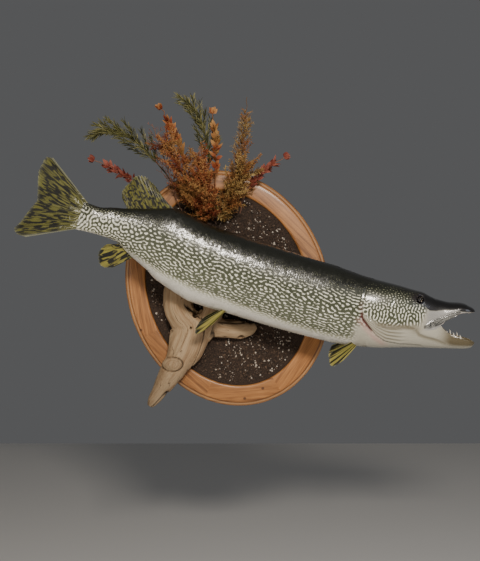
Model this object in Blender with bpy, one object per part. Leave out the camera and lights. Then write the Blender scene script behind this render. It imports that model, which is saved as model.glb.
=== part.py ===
"""A northern pike mounted on an oval wall plaque, with driftwood and dried water plants.

Metres, +Z up. The wall is the plane y = 0 and the plaque's back lies on it, so everything
stands out towards -Y. X runs along the fish, with its head at +X and its right side to -Y.
The origin is the centre of the plaque's back.

The fish is described in its own coordinates. `s` is the distance back from the tip of the
jaws along the spine, `up` points to the back fin and `side` points out of its right flank.
"""

import math

import bmesh
import bpy
import numpy as np
from mathutils import Matrix, Vector, noise

GAP = 0.0003  # between solids that touch

# ---------------------------------------------------------------- plaque
PLAQUE_LONG = 0.279  # half of the oval's long axis
PLAQUE_SHORT = 0.234
PLAQUE_LEAN = math.radians(19.6)  # the long axis leans to the left of upright
RIM_WIDTH = 0.048
PANEL_THICK = 0.010
PANEL_INSET = 0.006
RIM_FRONT = 0.030  # distance of the rim's face from the wall
PLAQUE_SIDES = 48
# The rim's moulding: how far in from the edge, and how far out from the wall.
RIM_PROFILE = (
    (0.0000, PANEL_THICK + GAP),
    (0.0000, 0.0195),
    (0.0025, 0.0232),
    (0.0085, 0.0252),
    (0.0100, 0.0288),
    (0.0445, RIM_FRONT),
    (RIM_WIDTH, 0.0270),
    (RIM_WIDTH, PANEL_THICK + GAP),
)
SOIL_EDGE = 0.0250  # distance of the soil's surface from the wall, at the rim
SOIL_CROWN = 0.0036  # how much higher it is in the middle
SOIL_RELIEF = 0.0008
SOIL_RINGS = 3

# ---------------------------------------------------------------- spine
HEAD_LENGTH = 0.244
GILL = Vector((0.293, -0.140, -0.047))  # spine at the gill opening
TAIL = Vector((-0.320, -0.152, 0.161))  # spine at the root of the tail fin
HEAD_WAY = Vector((0.987, -0.074, -0.145)).normalized()
NECK_PULL = 0.178
TAIL_PULL = Vector((0.2010, 0.0345, -0.0635))
TRUNK_LENGTH = 0.650
BODY_LENGTH = HEAD_LENGTH + TRUNK_LENGTH
ROLL = math.radians(5)  # the back leans towards the viewer

# Distance from the jaw tip, height over and depth under the spine, and half width.
TRUNK_STATIONS = (
    (0.244, 0.0740, 0.0800, 0.0500),
    (0.285, 0.0800, 0.0815, 0.0520),
    (0.333, 0.0850, 0.0820, 0.0545),
    (0.422, 0.0850, 0.0850, 0.0550),
    (0.473, 0.0845, 0.0875, 0.0550),
    (0.523, 0.0815, 0.0900, 0.0545),
    (0.560, 0.0810, 0.0935, 0.0535),
    (0.602, 0.0780, 0.0955, 0.0520),
    (0.635, 0.0785, 0.0905, 0.0500),
    (0.660, 0.0805, 0.0855, 0.0475),
    (0.697, 0.0840, 0.0750, 0.0425),
    (0.715, 0.0810, 0.0655, 0.0395),
    (0.738, 0.0715, 0.0570, 0.0350),
    (0.762, 0.0615, 0.0480, 0.0305),
    (0.785, 0.0530, 0.0370, 0.0265),
    (0.801, 0.0465, 0.0300, 0.0235),
    (0.832, 0.0375, 0.0290, 0.0185),
    (0.862, 0.0285, 0.0305, 0.0145),
    (0.894, 0.0290, 0.0335, 0.0085),
)
# The same for the head, forwards from the gill opening: the crown and the chin.
CROWN = ((0, 0.0740), (0.031, 0.0705), (0.053, 0.0680), (0.075, 0.0655), (0.098, 0.0620),
         (0.122, 0.0585), (0.145, 0.0515), (0.162, 0.0475), (0.184, 0.0455), (0.209, 0.0475),
         (0.217, 0.0470), (0.226, 0.0435), (0.2365, 0.0390), (0.242, 0.0350))
CHIN = ((0, -0.0800), (0.043, -0.0775), (0.075, -0.0725), (0.124, -0.0645), (0.182, -0.0575),
        (0.224, -0.0520), (0.245, -0.0470), (0.252, -0.0385))
CHEEK_LINE = ((0, 0.0), (0.050, -0.0050), (0.100, -0.0115), (0.137, -0.0150),
              (0.1565, -0.0110), (0.1685, -0.0045))
UPPER_LIP = (*CHEEK_LINE, (0.1815, 0.0080), (0.197, 0.0190), (0.208, 0.0275),
             (0.219, 0.0305), (0.2275, 0.0325), (0.234, 0.0340), (0.242, 0.0340))
LOWER_LIP = (*CHEEK_LINE, (0.1785, -0.0130), (0.1905, -0.0200), (0.198, -0.0250),
             (0.207, -0.0275), (0.229, -0.0290), (0.2415, -0.0305), (0.252, -0.0345))
PALATE = ((0.050, -0.004), (0.080, 0.000), (0.104, 0.008), (0.160, 0.0150), (0.190, 0.0250),
          (0.212, 0.0330), (0.228, 0.0350), (0.240, 0.0350))
MOUTH_FLOOR = ((0.050, -0.018), (0.080, -0.026), (0.104, -0.0330), (0.170, -0.0400),
               (0.215, -0.0410), (0.240, -0.0385), (0.250, -0.0355))
SNOUT_WIDTH = ((0, 0.0500), (0.025, 0.0520), (0.060, 0.0500), (0.100, 0.0435), (0.122, 0.0390),
               (0.144, 0.0355), (0.174, 0.0320), (0.200, 0.0300), (0.217, 0.0280),
               (0.229, 0.0235), (0.2365, 0.0170), (0.2405, 0.0095), (0.242, 0.0030))
JAW_WIDTH = ((0, 0.0500), (0.025, 0.0520), (0.060, 0.0500), (0.100, 0.0435), (0.122, 0.0390),
             (0.144, 0.0355), (0.174, 0.0320), (0.200, 0.0290), (0.222, 0.0250),
             (0.237, 0.0200), (0.246, 0.0130), (0.2505, 0.0070), (0.252, 0.0025))
LIP_THICK = 0.0055
JAW_JOINT = 0.104  # forwards of the gill opening, where the jaws part from the head
THROAT_END = 0.050
HINGE_STOPS = (0.104, 0.120, 0.137, 0.1565, 0.1685)
SNOUT_STOPS = (0.180, 0.192, 0.204, 0.214, 0.2235, 0.231, 0.237, 0.2405, 0.242)
JAW_STOPS = (0.182, 0.196, 0.209, 0.221, 0.232, 0.241, 0.247, 0.2505, 0.252)
BACK_SQUARE = (2.3, 2.7)  # how boxy the section is above the spine: trunk, snout
BELLY_SQUARE = (2.15, 2.0)
ARC_STEPS = 10  # sides of half a section

EYE_AT = (0.119, 0.0445)  # forwards of the gill opening and over the spine
EYE_RADIUS = 0.0088
EYE_PROUD = 0.0030  # how far it bulges out of the cheek
EYE_OUT = 0.0320  # half the distance between the eyes' outsides, less the bulge

# ---------------------------------------------------------------- colours
OLIVE = (0.075, 0.080, 0.045)
FLANK = (0.330, 0.340, 0.250)
BELLY = (0.700, 0.690, 0.620)
FIN = (0.300, 0.300, 0.060)
BONE = (0.800, 0.770, 0.680)
MOUTH = (0.620, 0.500, 0.450)
GLASS_EYE = (0.150, 0.100, 0.030)
CHERRY_WOOD = (0.450, 0.210, 0.085)
PLYWOOD = (0.520, 0.380, 0.220)
SOIL = (0.035, 0.026, 0.022)
DRIFTWOOD = (0.420, 0.310, 0.215)
GREEN_PLANT = (0.085, 0.105, 0.035)
RUST_PLANT = (0.330, 0.110, 0.035)
RED_PLANT = (0.380, 0.070, 0.045)
TAN_PLANT = (0.360, 0.220, 0.085)


# ---------------------------------------------------------------- helpers
def clear_scene():
    for leftover in list(bpy.data.objects):
        bpy.data.objects.remove(leftover)


def finish_of(name, colour, roughness, metallic=0.0):
    """The material of that name, made the first time it is asked for."""
    found = bpy.data.materials.get(name)
    if found:
        return found
    made = bpy.data.materials.new(name)
    made.use_nodes = True
    shader = made.node_tree.nodes["Principled BSDF"]
    shader.inputs["Base Color"].default_value = (*colour, 1.0)
    shader.inputs["Roughness"].default_value = roughness
    shader.inputs["Metallic"].default_value = metallic
    return made


def add_object(name, build, material, smooth=True):
    """Turns a bmesh into an object of that name. A helper has no material and isn't shown."""
    bmesh.ops.recalc_face_normals(build, faces=build.faces)
    mesh = bpy.data.meshes.new(name)
    build.to_mesh(mesh)
    build.free()
    made = bpy.data.objects.new(name, mesh)
    bpy.context.scene.collection.objects.link(made)
    if material is None:
        made.hide_render = True
        made.display_type = "WIRE"
        return made
    mesh.materials.append(material)
    if smooth:
        mesh.shade_smooth()
        mesh.set_sharp_from_angle(angle=math.radians(38))
    return made


def boolean(target, cutter, operation="DIFFERENCE", use_self=False):
    change = target.modifiers.new(f"{operation.lower()}_{cutter.name}", "BOOLEAN")
    change.operation = operation
    change.object = cutter
    change.solver = "EXACT"
    change.use_self = use_self
    return change


def add_loft(build, rings):
    """Closed rings of points, each joined to the next, with both ends capped."""
    loops = [[build.verts.new(point) for point in ring] for ring in rings]
    count = len(loops[0])
    for near, far in zip(loops, loops[1:]):
        for i in range(count):
            j = (i + 1) % count
            build.faces.new((near[i], near[j], far[j], far[i]))
    build.faces.new(loops[0][::-1])
    build.faces.new(loops[-1])


def loft(name, rings, material):
    build = bmesh.new()
    add_loft(build, rings)
    return add_object(name, build, material)


def slab(name, inner, outer, material):
    """A closed plate between two grids of points that have the same rows and columns."""
    build = bmesh.new()
    near = [[build.verts.new(p) for p in row] for row in inner]
    far = [[build.verts.new(p) for p in row] for row in outer]
    rows, columns = len(near), len(near[0])
    for i in range(rows - 1):
        for j in range(columns - 1):
            build.faces.new((near[i][j], near[i][j + 1], near[i + 1][j + 1], near[i + 1][j]))
            build.faces.new((far[i][j], far[i + 1][j], far[i + 1][j + 1], far[i][j + 1]))
    border = ([(0, j) for j in range(columns)] + [(i, columns - 1) for i in range(1, rows)]
              + [(rows - 1, j) for j in reversed(range(columns - 1))]
              + [(i, 0) for i in reversed(range(1, rows - 1))])
    for (a, b), (c, d) in zip(border, border[1:] + border[:1]):
        build.faces.new((near[a][b], far[a][b], far[c][d], near[c][d]))
    return add_object(name, build, material)


def eased(x, table, column=1):
    """The table's value at x, on a smooth curve that never overshoots its rows."""
    xs = [row[0] for row in table]
    ys = [row[column] for row in table]
    if x <= xs[0] or x >= xs[-1]:
        return ys[0] if x <= xs[0] else ys[-1]
    slopes = [(b - a) / (d - c) for a, b, c, d in zip(ys, ys[1:], xs, xs[1:])]
    k = max(i for i in range(len(xs) - 1) if xs[i] <= x)

    def slope_at(i):
        if i in (0, len(xs) - 1):
            return slopes[min(i, len(slopes) - 1)]
        before, after = slopes[i - 1], slopes[i]
        return 0.0 if before * after <= 0 else 2 * before * after / (before + after)

    span = xs[k + 1] - xs[k]
    t = (x - xs[k]) / span
    return ((1 + 2 * t) * (1 - t) ** 2 * ys[k] + t * (1 - t) ** 2 * span * slope_at(k)
            + t * t * (3 - 2 * t) * ys[k + 1] - t * t * (1 - t) * span * slope_at(k + 1))


# ---------------------------------------------------------------- plaque
def oval_point(angle, inset, out):
    """A point on the oval moved in by inset, at a distance out from the wall."""
    edge = Vector((PLAQUE_SHORT * math.cos(angle), PLAQUE_LONG * math.sin(angle)))
    outward = Vector((PLAQUE_LONG * math.cos(angle), PLAQUE_SHORT * math.sin(angle))).normalized()
    flat = edge - outward * inset
    turned = Matrix.Rotation(PLAQUE_LEAN, 2) @ flat
    return Vector((turned.x, -out, turned.y))


def oval_angles():
    return [math.tau * i / PLAQUE_SIDES for i in range(PLAQUE_SIDES)]


def make_back_panel():
    rings = [[oval_point(a, PANEL_INSET, out) for a in oval_angles()] for out in (0.0, PANEL_THICK)]
    return loft("back_panel", rings, finish_of("plywood", PLYWOOD, 0.7))


def make_rim():
    """The wooden ring, with its moulded edge."""
    rings = [[oval_point(a, inset, out) for inset, out in RIM_PROFILE] for a in oval_angles()]
    build = bmesh.new()
    loops = [[build.verts.new(p) for p in ring] for ring in rings]
    for k, near in enumerate(loops):
        far = loops[(k + 1) % len(loops)]
        for i in range(len(near)):
            j = (i + 1) % len(near)
            build.faces.new((near[i], near[j], far[j], far[i]))
    return add_object("wood_rim", build, finish_of("cherry_wood", CHERRY_WOOD, 0.35))


def soil_surface(x, z, edge_share):
    """How far the soil stands out from the wall. edge_share is 1 at the rim and 0 in the middle."""
    lumps = noise.noise(Vector((x, 0.0, z)) * 28) + 0.5 * noise.noise(Vector((x, 3.0, z)) * 63)
    fade = min(1.0, 6 * (1 - edge_share))
    return SOIL_EDGE + SOIL_CROWN * (1 - edge_share ** 2) + SOIL_RELIEF * lumps * fade


def add_soil(name, grow, material):
    """The bed of potting soil that fills the ring, or a cutter bigger by grow."""
    build = bmesh.new()
    angles = oval_angles()
    inset = RIM_WIDTH + GAP - grow
    back = [build.verts.new(oval_point(a, inset, PANEL_THICK + GAP - grow)) for a in angles]
    rings = [back]
    for k in range(SOIL_RINGS):
        share = 1 - k / SOIL_RINGS
        ring = []
        for a in angles:
            flat = oval_point(a, inset, 0.0) * share
            out = soil_surface(flat.x, flat.z, share) + grow
            ring.append(build.verts.new((flat.x, -out, flat.z)))
        rings.append(ring)
    for near, far in zip(rings, rings[1:]):
        for i in range(PLAQUE_SIDES):
            j = (i + 1) % PLAQUE_SIDES
            build.faces.new((near[i], near[j], far[j], far[i]))
    top = build.verts.new((0, -soil_surface(0, 0, 0) - grow, 0))
    floor = build.verts.new((0, grow - PANEL_THICK - GAP, 0))
    for i in range(PLAQUE_SIDES):
        j = (i + 1) % PLAQUE_SIDES
        build.faces.new((rings[-1][i], rings[-1][j], top))
        build.faces.new((back[j], back[i], floor))
    return add_object(name, build, material)


# ---------------------------------------------------------------- the fish's own coordinates
def trunk_curve():
    """(distance behind the gill opening, point) along the spine behind the head."""
    a, b, c, d = GILL, GILL - HEAD_WAY * NECK_PULL, TAIL + TAIL_PULL, TAIL
    steps = [i / 400 for i in range(401)]
    points = [a * (1 - t) ** 3 + b * 3 * t * (1 - t) ** 2 + c * 3 * t * t * (1 - t) + d * t ** 3
              for t in steps]
    lengths = [0.0]
    for near, far in zip(points, points[1:]):
        lengths.append(lengths[-1] + (far - near).length)
    return np.array(lengths), np.array(points)


SPINE_LENGTHS, SPINE_POINTS = trunk_curve()


def spine_point(s):
    behind = s - HEAD_LENGTH
    if behind <= 0:
        return GILL - HEAD_WAY * behind
    if behind >= SPINE_LENGTHS[-1]:
        past = Vector(SPINE_POINTS[-1] - SPINE_POINTS[-2]).normalized()
        return Vector(SPINE_POINTS[-1]) + past * (behind - SPINE_LENGTHS[-1])
    return Vector([np.interp(behind, SPINE_LENGTHS, SPINE_POINTS[:, k]) for k in range(3)])


def spine_frame(s):
    """The spine's point at s, and the directions to the tail, to the back and to the right."""
    step = 0.004
    back = (spine_point(s + step) - spine_point(s - step)).normalized()
    side = Vector((0, 0, 1)).cross(back).normalized()
    up = back.cross(side)
    roll = Matrix.Rotation(-ROLL, 3, back)
    return spine_point(s), back, roll @ up, roll @ side


def fish_point(s, up, side):
    centre, _, over, out = spine_frame(s)
    return centre + over * up + out * side


def half_arc(low, high, width, square, steps, flip=False):
    """(up, side) points of half a section, from the right side over the top to the left."""
    points = []
    for i in range(steps + 1):
        turn = math.pi * i / steps
        across, rise = math.cos(turn), math.sin(turn)
        side = math.copysign(abs(across) ** (2 / square), across) * width
        points.append((low + (high - low) * max(rise, 0.0) ** (2 / square), side))
    return points[::-1] if flip else points


def section(s, grow=0.0):
    """(up, side) points round the whole closed body at s, made bigger all round by grow."""
    ahead = HEAD_LENGTH - s
    if ahead <= 0:
        top, bottom, width = (eased(s, TRUNK_STATIONS, k) for k in (1, 2, 3))
        middle, bottom = 0.0, -bottom
    else:
        top, bottom, middle = (eased(ahead, t) for t in (CROWN, CHIN, UPPER_LIP))
        width = eased(ahead, SNOUT_WIDTH)
    above, below = squareness(ahead)
    over = half_arc(middle, top + grow, width + grow, above, ARC_STEPS)
    under = half_arc(middle, bottom - grow, width + grow, below, ARC_STEPS, flip=True)
    return over + under[1:-1]


def squareness(ahead):
    share = min(1.0, max(0.0, ahead / JAW_JOINT))
    return tuple(a + (b - a) * share for a, b in (BACK_SQUARE, BELLY_SQUARE))


def placed(s, outline):
    return [fish_point(s, up, side) for up, side in outline]


def half_width_at(s, up):
    """Half the body's width at that height over the spine."""
    half = [p for p in section(s) if p[1] >= 0]
    half.sort()
    return float(np.interp(up, [p[0] for p in half], [p[1] for p in half]))


# ---------------------------------------------------------------- trunk
def make_trunk_part(name, start, end, rings, colour_name, colour):
    stops = [start + GAP / 2 + (end - start - GAP) * i / (rings - 1) for i in range(rings)]
    return loft(name, [placed(s, section(s)) for s in stops], finish_of(colour_name, colour, 0.3))


def make_trunk():
    make_trunk_part("trunk_front", HEAD_LENGTH, 0.430, 6, "flank", FLANK)
    make_trunk_part("trunk_middle", 0.430, 0.625, 6, "flank", FLANK)
    make_trunk_part("trunk_rear", 0.625, 0.800, 9, "flank", FLANK)
    make_trunk_part("tail_stem", 0.800, 0.894, 6, "flank", FLANK)


def make_body_clearance():
    """A cutter of the whole body's shape, a gap bigger all round, for what is rooted in it."""
    ahead = [JAW_JOINT * i / 6 for i in range(6, 0, -1)]
    behind = [HEAD_LENGTH + TRUNK_LENGTH * i / 34 for i in range(35)]
    stops = [HEAD_LENGTH - a for a in ahead] + behind
    return loft("body_clearance", [placed(s, section(s, grow=2 * GAP)) for s in stops], None)


# ---------------------------------------------------------------- head
def mouth_ring(ahead, shrink=1.0):
    """(up, side) points round the inside of the mouth, where it is closed at the sides."""
    roof, floor = eased(ahead, PALATE), eased(ahead, MOUTH_FLOOR)
    middle = (roof + floor) / 2
    width = (eased(ahead, SNOUT_WIDTH) - 2.4 * LIP_THICK) * shrink
    over = half_arc(middle, roof, width, 2.0, ARC_STEPS)
    under = half_arc(middle, floor, width, 2.0, ARC_STEPS, flip=True)
    return over + under[1:-1]


def make_head():
    """The back of the head, with the throat as a blind hole from the front."""
    outside = [HEAD_LENGTH - GAP / 2 - (JAW_JOINT - GAP) * i / 6 for i in range(7)]
    rings = [placed(s, section(s)) for s in outside]
    depth = JAW_JOINT - THROAT_END
    for i in range(4):
        ahead = JAW_JOINT - GAP / 2 - depth * i / 3
        rings.append(placed(HEAD_LENGTH - ahead, mouth_ring(ahead, 1 - 0.16 * i)))
    return loft("head", rings, finish_of("cheek", FLANK, 0.3))


def lower_lip(ahead):
    """The lower jaw's lip, which never rises over the upper lip."""
    return min(eased(ahead, LOWER_LIP), eased(ahead, UPPER_LIP))


def hollow_edge(outer, lip, hollow):
    """How far the mouth's hollow reaches into a jaw, which leaves enough bone outside it."""
    return lip + math.copysign(min(abs(hollow - lip), 0.62 * abs(outer - lip)), outer - lip)


def jaw_ring(outer, lip, hollow, half, square):
    """(up, side) points round one jaw: over its outside and back along the inside."""
    inside = max(half - LIP_THICK, half * 0.45)
    over = half_arc(lip, outer, half, square, ARC_STEPS)
    back = half_arc(lip, hollow_edge(outer, lip, hollow), inside, 2.0, ARC_STEPS - 2, flip=True)
    return over + back


def jaw_loft(name, stops, ring_at, lift, material):
    """Rings of a jaw at the given distances, the first a little forwards of the head."""
    stops = [max(ahead, JAW_JOINT + GAP / 2) for ahead in stops]
    rings = [placed(HEAD_LENGTH - ahead, [(up + lift, side) for up, side in ring_at(ahead)])
             for ahead in stops]
    return loft(name, rings, material)


def snout_ring(ahead):
    return jaw_ring(eased(ahead, CROWN), eased(ahead, UPPER_LIP), eased(ahead, PALATE),
                    eased(ahead, SNOUT_WIDTH), BACK_SQUARE[1])


def chin_ring(ahead):
    return jaw_ring(eased(ahead, CHIN), lower_lip(ahead), eased(ahead, MOUTH_FLOOR),
                    eased(ahead, JAW_WIDTH), BELLY_SQUARE[1])


def make_upper_jaw():
    """The snout, from behind the eyes to its tip, hollow below where the mouth is."""
    snout = jaw_loft("upper_jaw", HINGE_STOPS + SNOUT_STOPS, snout_ring, GAP / 2,
                     finish_of("snout", OLIVE, 0.25))
    for sign, side in ((1, "right"), (-1, "left")):
        socket = add_ball(f"socket_{side}", eye_centre(sign), EYE_RADIUS + 2 * GAP, None)
        boolean(snout, socket)
    return snout


def add_teeth(build, spots, height, root):
    """Backward-leaning cones. A spot is (forwards of the gill, up, side, share of height, sign)."""
    for ahead, up, side, share, sign in spots:
        base = fish_point(HEAD_LENGTH - ahead, up - sign * 0.0022, side)
        tip = fish_point(HEAD_LENGTH - ahead + 0.15 * height * share, up + sign * height * share,
                         side * 0.97)
        axis = tip - base
        turn = Vector((0, 0, 1)).rotation_difference(axis).to_matrix().to_4x4()
        place = Matrix.Translation((base + tip) / 2) @ turn
        bmesh.ops.create_cone(build, cap_ends=True, segments=4, radius1=root * share,
                              radius2=root * 0.12, depth=axis.length, matrix=place)


def make_lower_jaw():
    jaw = jaw_loft("lower_jaw", HINGE_STOPS + JAW_STOPS, chin_ring, -GAP / 2,
                   finish_of("belly", BELLY, 0.35))
    spots = []
    for i, share in enumerate((0.75, 1.0, 0.7, 0.95, 0.6)):
        ahead = 0.188 + 0.0105 * i
        half = eased(ahead, JAW_WIDTH) - LIP_THICK / 2
        spots += [(ahead, lower_lip(ahead), half * sign, share, 1) for sign in (1, -1)]
    teeth = bmesh.new()
    add_teeth(teeth, spots, 0.0115, 0.0022)
    boolean(jaw, add_object("lower_teeth", teeth, None), "UNION")
    return jaw


def eye_centre(sign):
    ahead, up = EYE_AT
    return fish_point(HEAD_LENGTH - ahead, up, sign * (EYE_OUT + EYE_PROUD - EYE_RADIUS))


def add_ball(name, centre, radius, material, segments=10):
    build = bmesh.new()
    bmesh.ops.create_uvsphere(build, u_segments=segments, v_segments=segments // 2 + 1,
                              radius=radius, matrix=Matrix.Translation(centre))
    return add_object(name, build, material)


def make_eyes():
    for sign, name in ((1, "eye_right"), (-1, "eye_left")):
        add_ball(name, eye_centre(sign), EYE_RADIUS, finish_of("glass_eye", GLASS_EYE, 0.05))


def cheek_point(s, up, side_sign, off):
    """A point on the outside of the head or shoulder, moved out by off."""
    return fish_point(s, up, side_sign * (half_width_at(s, up) + off))


# How far ahead of the gill opening the cover's free edge is, by its height over the spine.
GILL_EDGE = ((-0.0600, 0.0750), (-0.0545, 0.0560), (-0.0435, 0.0365), (-0.0280, 0.0190),
             (-0.0110, 0.0025), (0.0060, -0.0015), (0.0270, -0.0015), (0.0410, 0.0), (0.0520, 0.006))
COVER_RIM = 0.0022
COVER_BULGE = 0.0022


def make_gill_cover(sign, name, cutter):
    """A plate over the gills. Its rows run down the cheek, and its free edge sweeps forwards."""
    rows, columns = 9, 6
    inner, outer = [], []
    for i in range(rows):
        drop = i / (rows - 1)
        up = GILL_EDGE[-1][0] + (GILL_EDGE[0][0] - GILL_EDGE[-1][0]) * drop
        rear = HEAD_LENGTH - eased(up, GILL_EDGE)
        front = HEAD_LENGTH - 0.090 - 0.010 * math.sin(math.pi * drop)
        low, high = [], []
        for j in range(columns):
            share = j / (columns - 1)
            s = front + (rear - front) * share
            bulge = math.sin(math.pi * share * 0.62) * min(1.0, 4 * drop, 4 * (1 - drop))
            low.append(cheek_point(s, up, sign, -0.003))
            high.append(cheek_point(s, up, sign, COVER_RIM + COVER_BULGE * bulge))
        inner.append(low)
        outer.append(high)
    cover = slab(name, inner, outer, finish_of("cheek", FLANK, 0.3))
    boolean(cover, cutter)
    return cover


# Forwards of the gill opening, then the lower and the upper edge of the upper lip's flat bone.
MAXILLA_EDGES = ((0.137, -0.0150, -0.0105), (0.144, -0.0150, -0.0020), (0.1555, -0.0105, 0.0070),
                 (0.1685, -0.0030, 0.0125), (0.1815, 0.0090, 0.0190), (0.197, 0.0205, 0.0270),
                 (0.206, 0.0270, 0.0305))


def make_maxilla(sign, name):
    """The flat bone along the side of the upper lip."""
    rings = []
    for ahead, low, high in MAXILLA_EDGES:
        middle, tall = (low + high) / 2, (high - low) / 2
        thick = 0.0012
        half = eased(ahead, SNOUT_WIDTH) + thick + 2 * GAP
        ring = []
        for k in range(8):
            a = math.tau * k / 8
            ring.append(fish_point(HEAD_LENGTH - ahead, middle + tall * math.sin(a),
                                   sign * (half + thick * math.cos(a))))
        rings.append(ring)
    return loft(name, rings, finish_of("belly", BELLY, 0.35))


def make_tongue():
    rings = []
    for i in range(6):
        t = i / 5
        ahead = JAW_JOINT + 0.004 + 0.094 * t
        floor = hollow_edge(eased(ahead, CHIN), lower_lip(ahead), eased(ahead, MOUTH_FLOOR))
        blunt = 0.5 if i == 5 else 1.0
        wide = 0.0105 * (1 - 0.45 * t) * blunt
        rise = 0.0042 * (1 - 0.3 * t) * blunt
        lift = floor + 0.0024 + rise
        ring = [(lift + rise * math.sin(math.tau * k / 8), wide * math.cos(math.tau * k / 8))
                for k in range(8)]
        rings.append(placed(HEAD_LENGTH - ahead, ring))
    return loft("tongue", rings, finish_of("mouth", MOUTH, 0.3))


# ---------------------------------------------------------------- fins
FIN_THICK = 0.0026
# For each ray from front to rear, where its root is along the body and where its tip is.
BACK_FIN = ((0.700, 0.745, 0.0985), (0.712, 0.762, 0.1130), (0.724, 0.778, 0.1205),
            (0.735, 0.790, 0.1260), (0.747, 0.802, 0.1240), (0.758, 0.812, 0.1165),
            (0.769, 0.817, 0.1030), (0.779, 0.8235, 0.0880), (0.788, 0.826, 0.0765),
            (0.795, 0.8215, 0.0650), (0.799, 0.8125, 0.0560))
ANAL_FIN = ((0.7505, 0.769, 0.0655), (0.755, 0.780, 0.0775), (0.760, 0.792, 0.0885),
            (0.765, 0.806, 0.0925), (0.770, 0.8215, 0.0865), (0.775, 0.829, 0.0725),
            (0.780, 0.827, 0.0555), (0.7845, 0.816, 0.0415), (0.788, 0.799, 0.0355))
# For each ray of the tail fin from the lower edge up, where its root and its tip are.
TAIL_FIN = ((-1.0, 0.989, -0.0815), (-0.9, 1.008, -0.0810), (-0.8, 1.017, -0.0725),
            (-0.6, 1.0085, -0.0530), (-0.4, 1.0025, -0.0335), (-0.2, 0.9955, -0.0140),
            (0.0, 0.9895, 0.0035), (0.2, 0.9945, 0.0215), (0.4, 0.9985, 0.0370),
            (0.6, 1.0035, 0.0560), (0.8, 1.002, 0.0790), (0.92, 0.9965, 0.0965),
            (1.0, 0.983, 0.0985))
TAIL_ROOT = 0.027
CHEST_FIN = ((0.2445, -0.0625, 0.2855, -0.0930), (0.244, -0.064, 0.288, -0.1010),
             (0.2435, -0.0655, 0.289, -0.1095), (0.243, -0.067, 0.2875, -0.1185),
             (0.2425, -0.0685, 0.2835, -0.1265), (0.242, -0.070, 0.277, -0.1275),
             (0.2415, -0.0715, 0.269, -0.1190), (0.241, -0.073, 0.260, -0.1090))
BELLY_FIN = ((0.5250, -0.078, 0.5565, -0.1110), (0.5240, -0.078, 0.561, -0.1180),
             (0.5230, -0.078, 0.5655, -0.1265), (0.5225, -0.077, 0.5685, -0.1345),
             (0.5215, -0.077, 0.569, -0.1440), (0.5205, -0.077, 0.5645, -0.1535),
             (0.5200, -0.077, 0.556, -0.1450), (0.5190, -0.076, 0.547, -0.1330),
             (0.5180, -0.076, 0.5385, -0.1200))


def make_fin(name, ends, sag, steps, cutter):
    """A plate through rays given by their ends. It bows sideways by sag and thins to its edge."""
    first, last = ends[0], ends[-1]
    across = (first[1] - first[0] + last[1] - last[0]).cross(last[1] - first[1]).normalized()
    near, far = [], []
    for root, tip in ends:
        low, high = [], []
        for k in range(steps + 1):
            t = k / steps
            point = root.lerp(tip, t) + across * sag * t * t
            half = across * FIN_THICK / 2 * (1 - 0.55 * t)
            low.append(point - half)
            high.append(point + half)
        near.append(low)
        far.append(high)
    fin = slab(name, near, far, finish_of("fin", FIN, 0.35))
    boolean(fin, cutter)
    return fin


def make_median_fin(name, rays, column, sag, cutter):
    """A fin on the midline, over the back for column 1 and under the belly for column 2."""
    sign = 1 if column == 1 else -1
    ends = [(fish_point(root, sign * (eased(root, TRUNK_STATIONS, column) - 0.006), 0.0),
             fish_point(tip, sign * up, 0.0)) for root, tip, up in rays]
    return make_fin(name, ends, sag, 3, cutter)


def make_paired_fin(name, rays, sign, flare, cutter):
    """A folded fin on one side of the belly, whose tip stands out by flare."""
    ends = []
    for root_s, root_up, tip_s, tip_up in rays:
        side = half_width_at(root_s, root_up) - 0.011
        ends.append((fish_point(root_s, root_up, sign * side),
                     fish_point(tip_s, tip_up, sign * (side + flare))))
    return make_fin(name, ends, 0.004 * sign, 3, cutter)


def make_fins(cutter):
    ends = [(fish_point(0.882, q * TAIL_ROOT, 0.0), fish_point(s, up, 0.0)) for q, s, up in TAIL_FIN]
    make_fin("tail_fin", ends, 0.006, 4, cutter)
    make_median_fin("back_fin", BACK_FIN, 1, 0.005, cutter)
    make_median_fin("anal_fin", ANAL_FIN, 2, 0.003, cutter)
    for sign, side in ((1, "right"), (-1, "left")):
        make_paired_fin(f"chest_fin_{side}", CHEST_FIN, sign, 0.022 if sign > 0 else 0.012, cutter)
        make_paired_fin(f"belly_fin_{side}", BELLY_FIN, sign, 0.018 if sign > 0 else -0.004, cutter)


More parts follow.
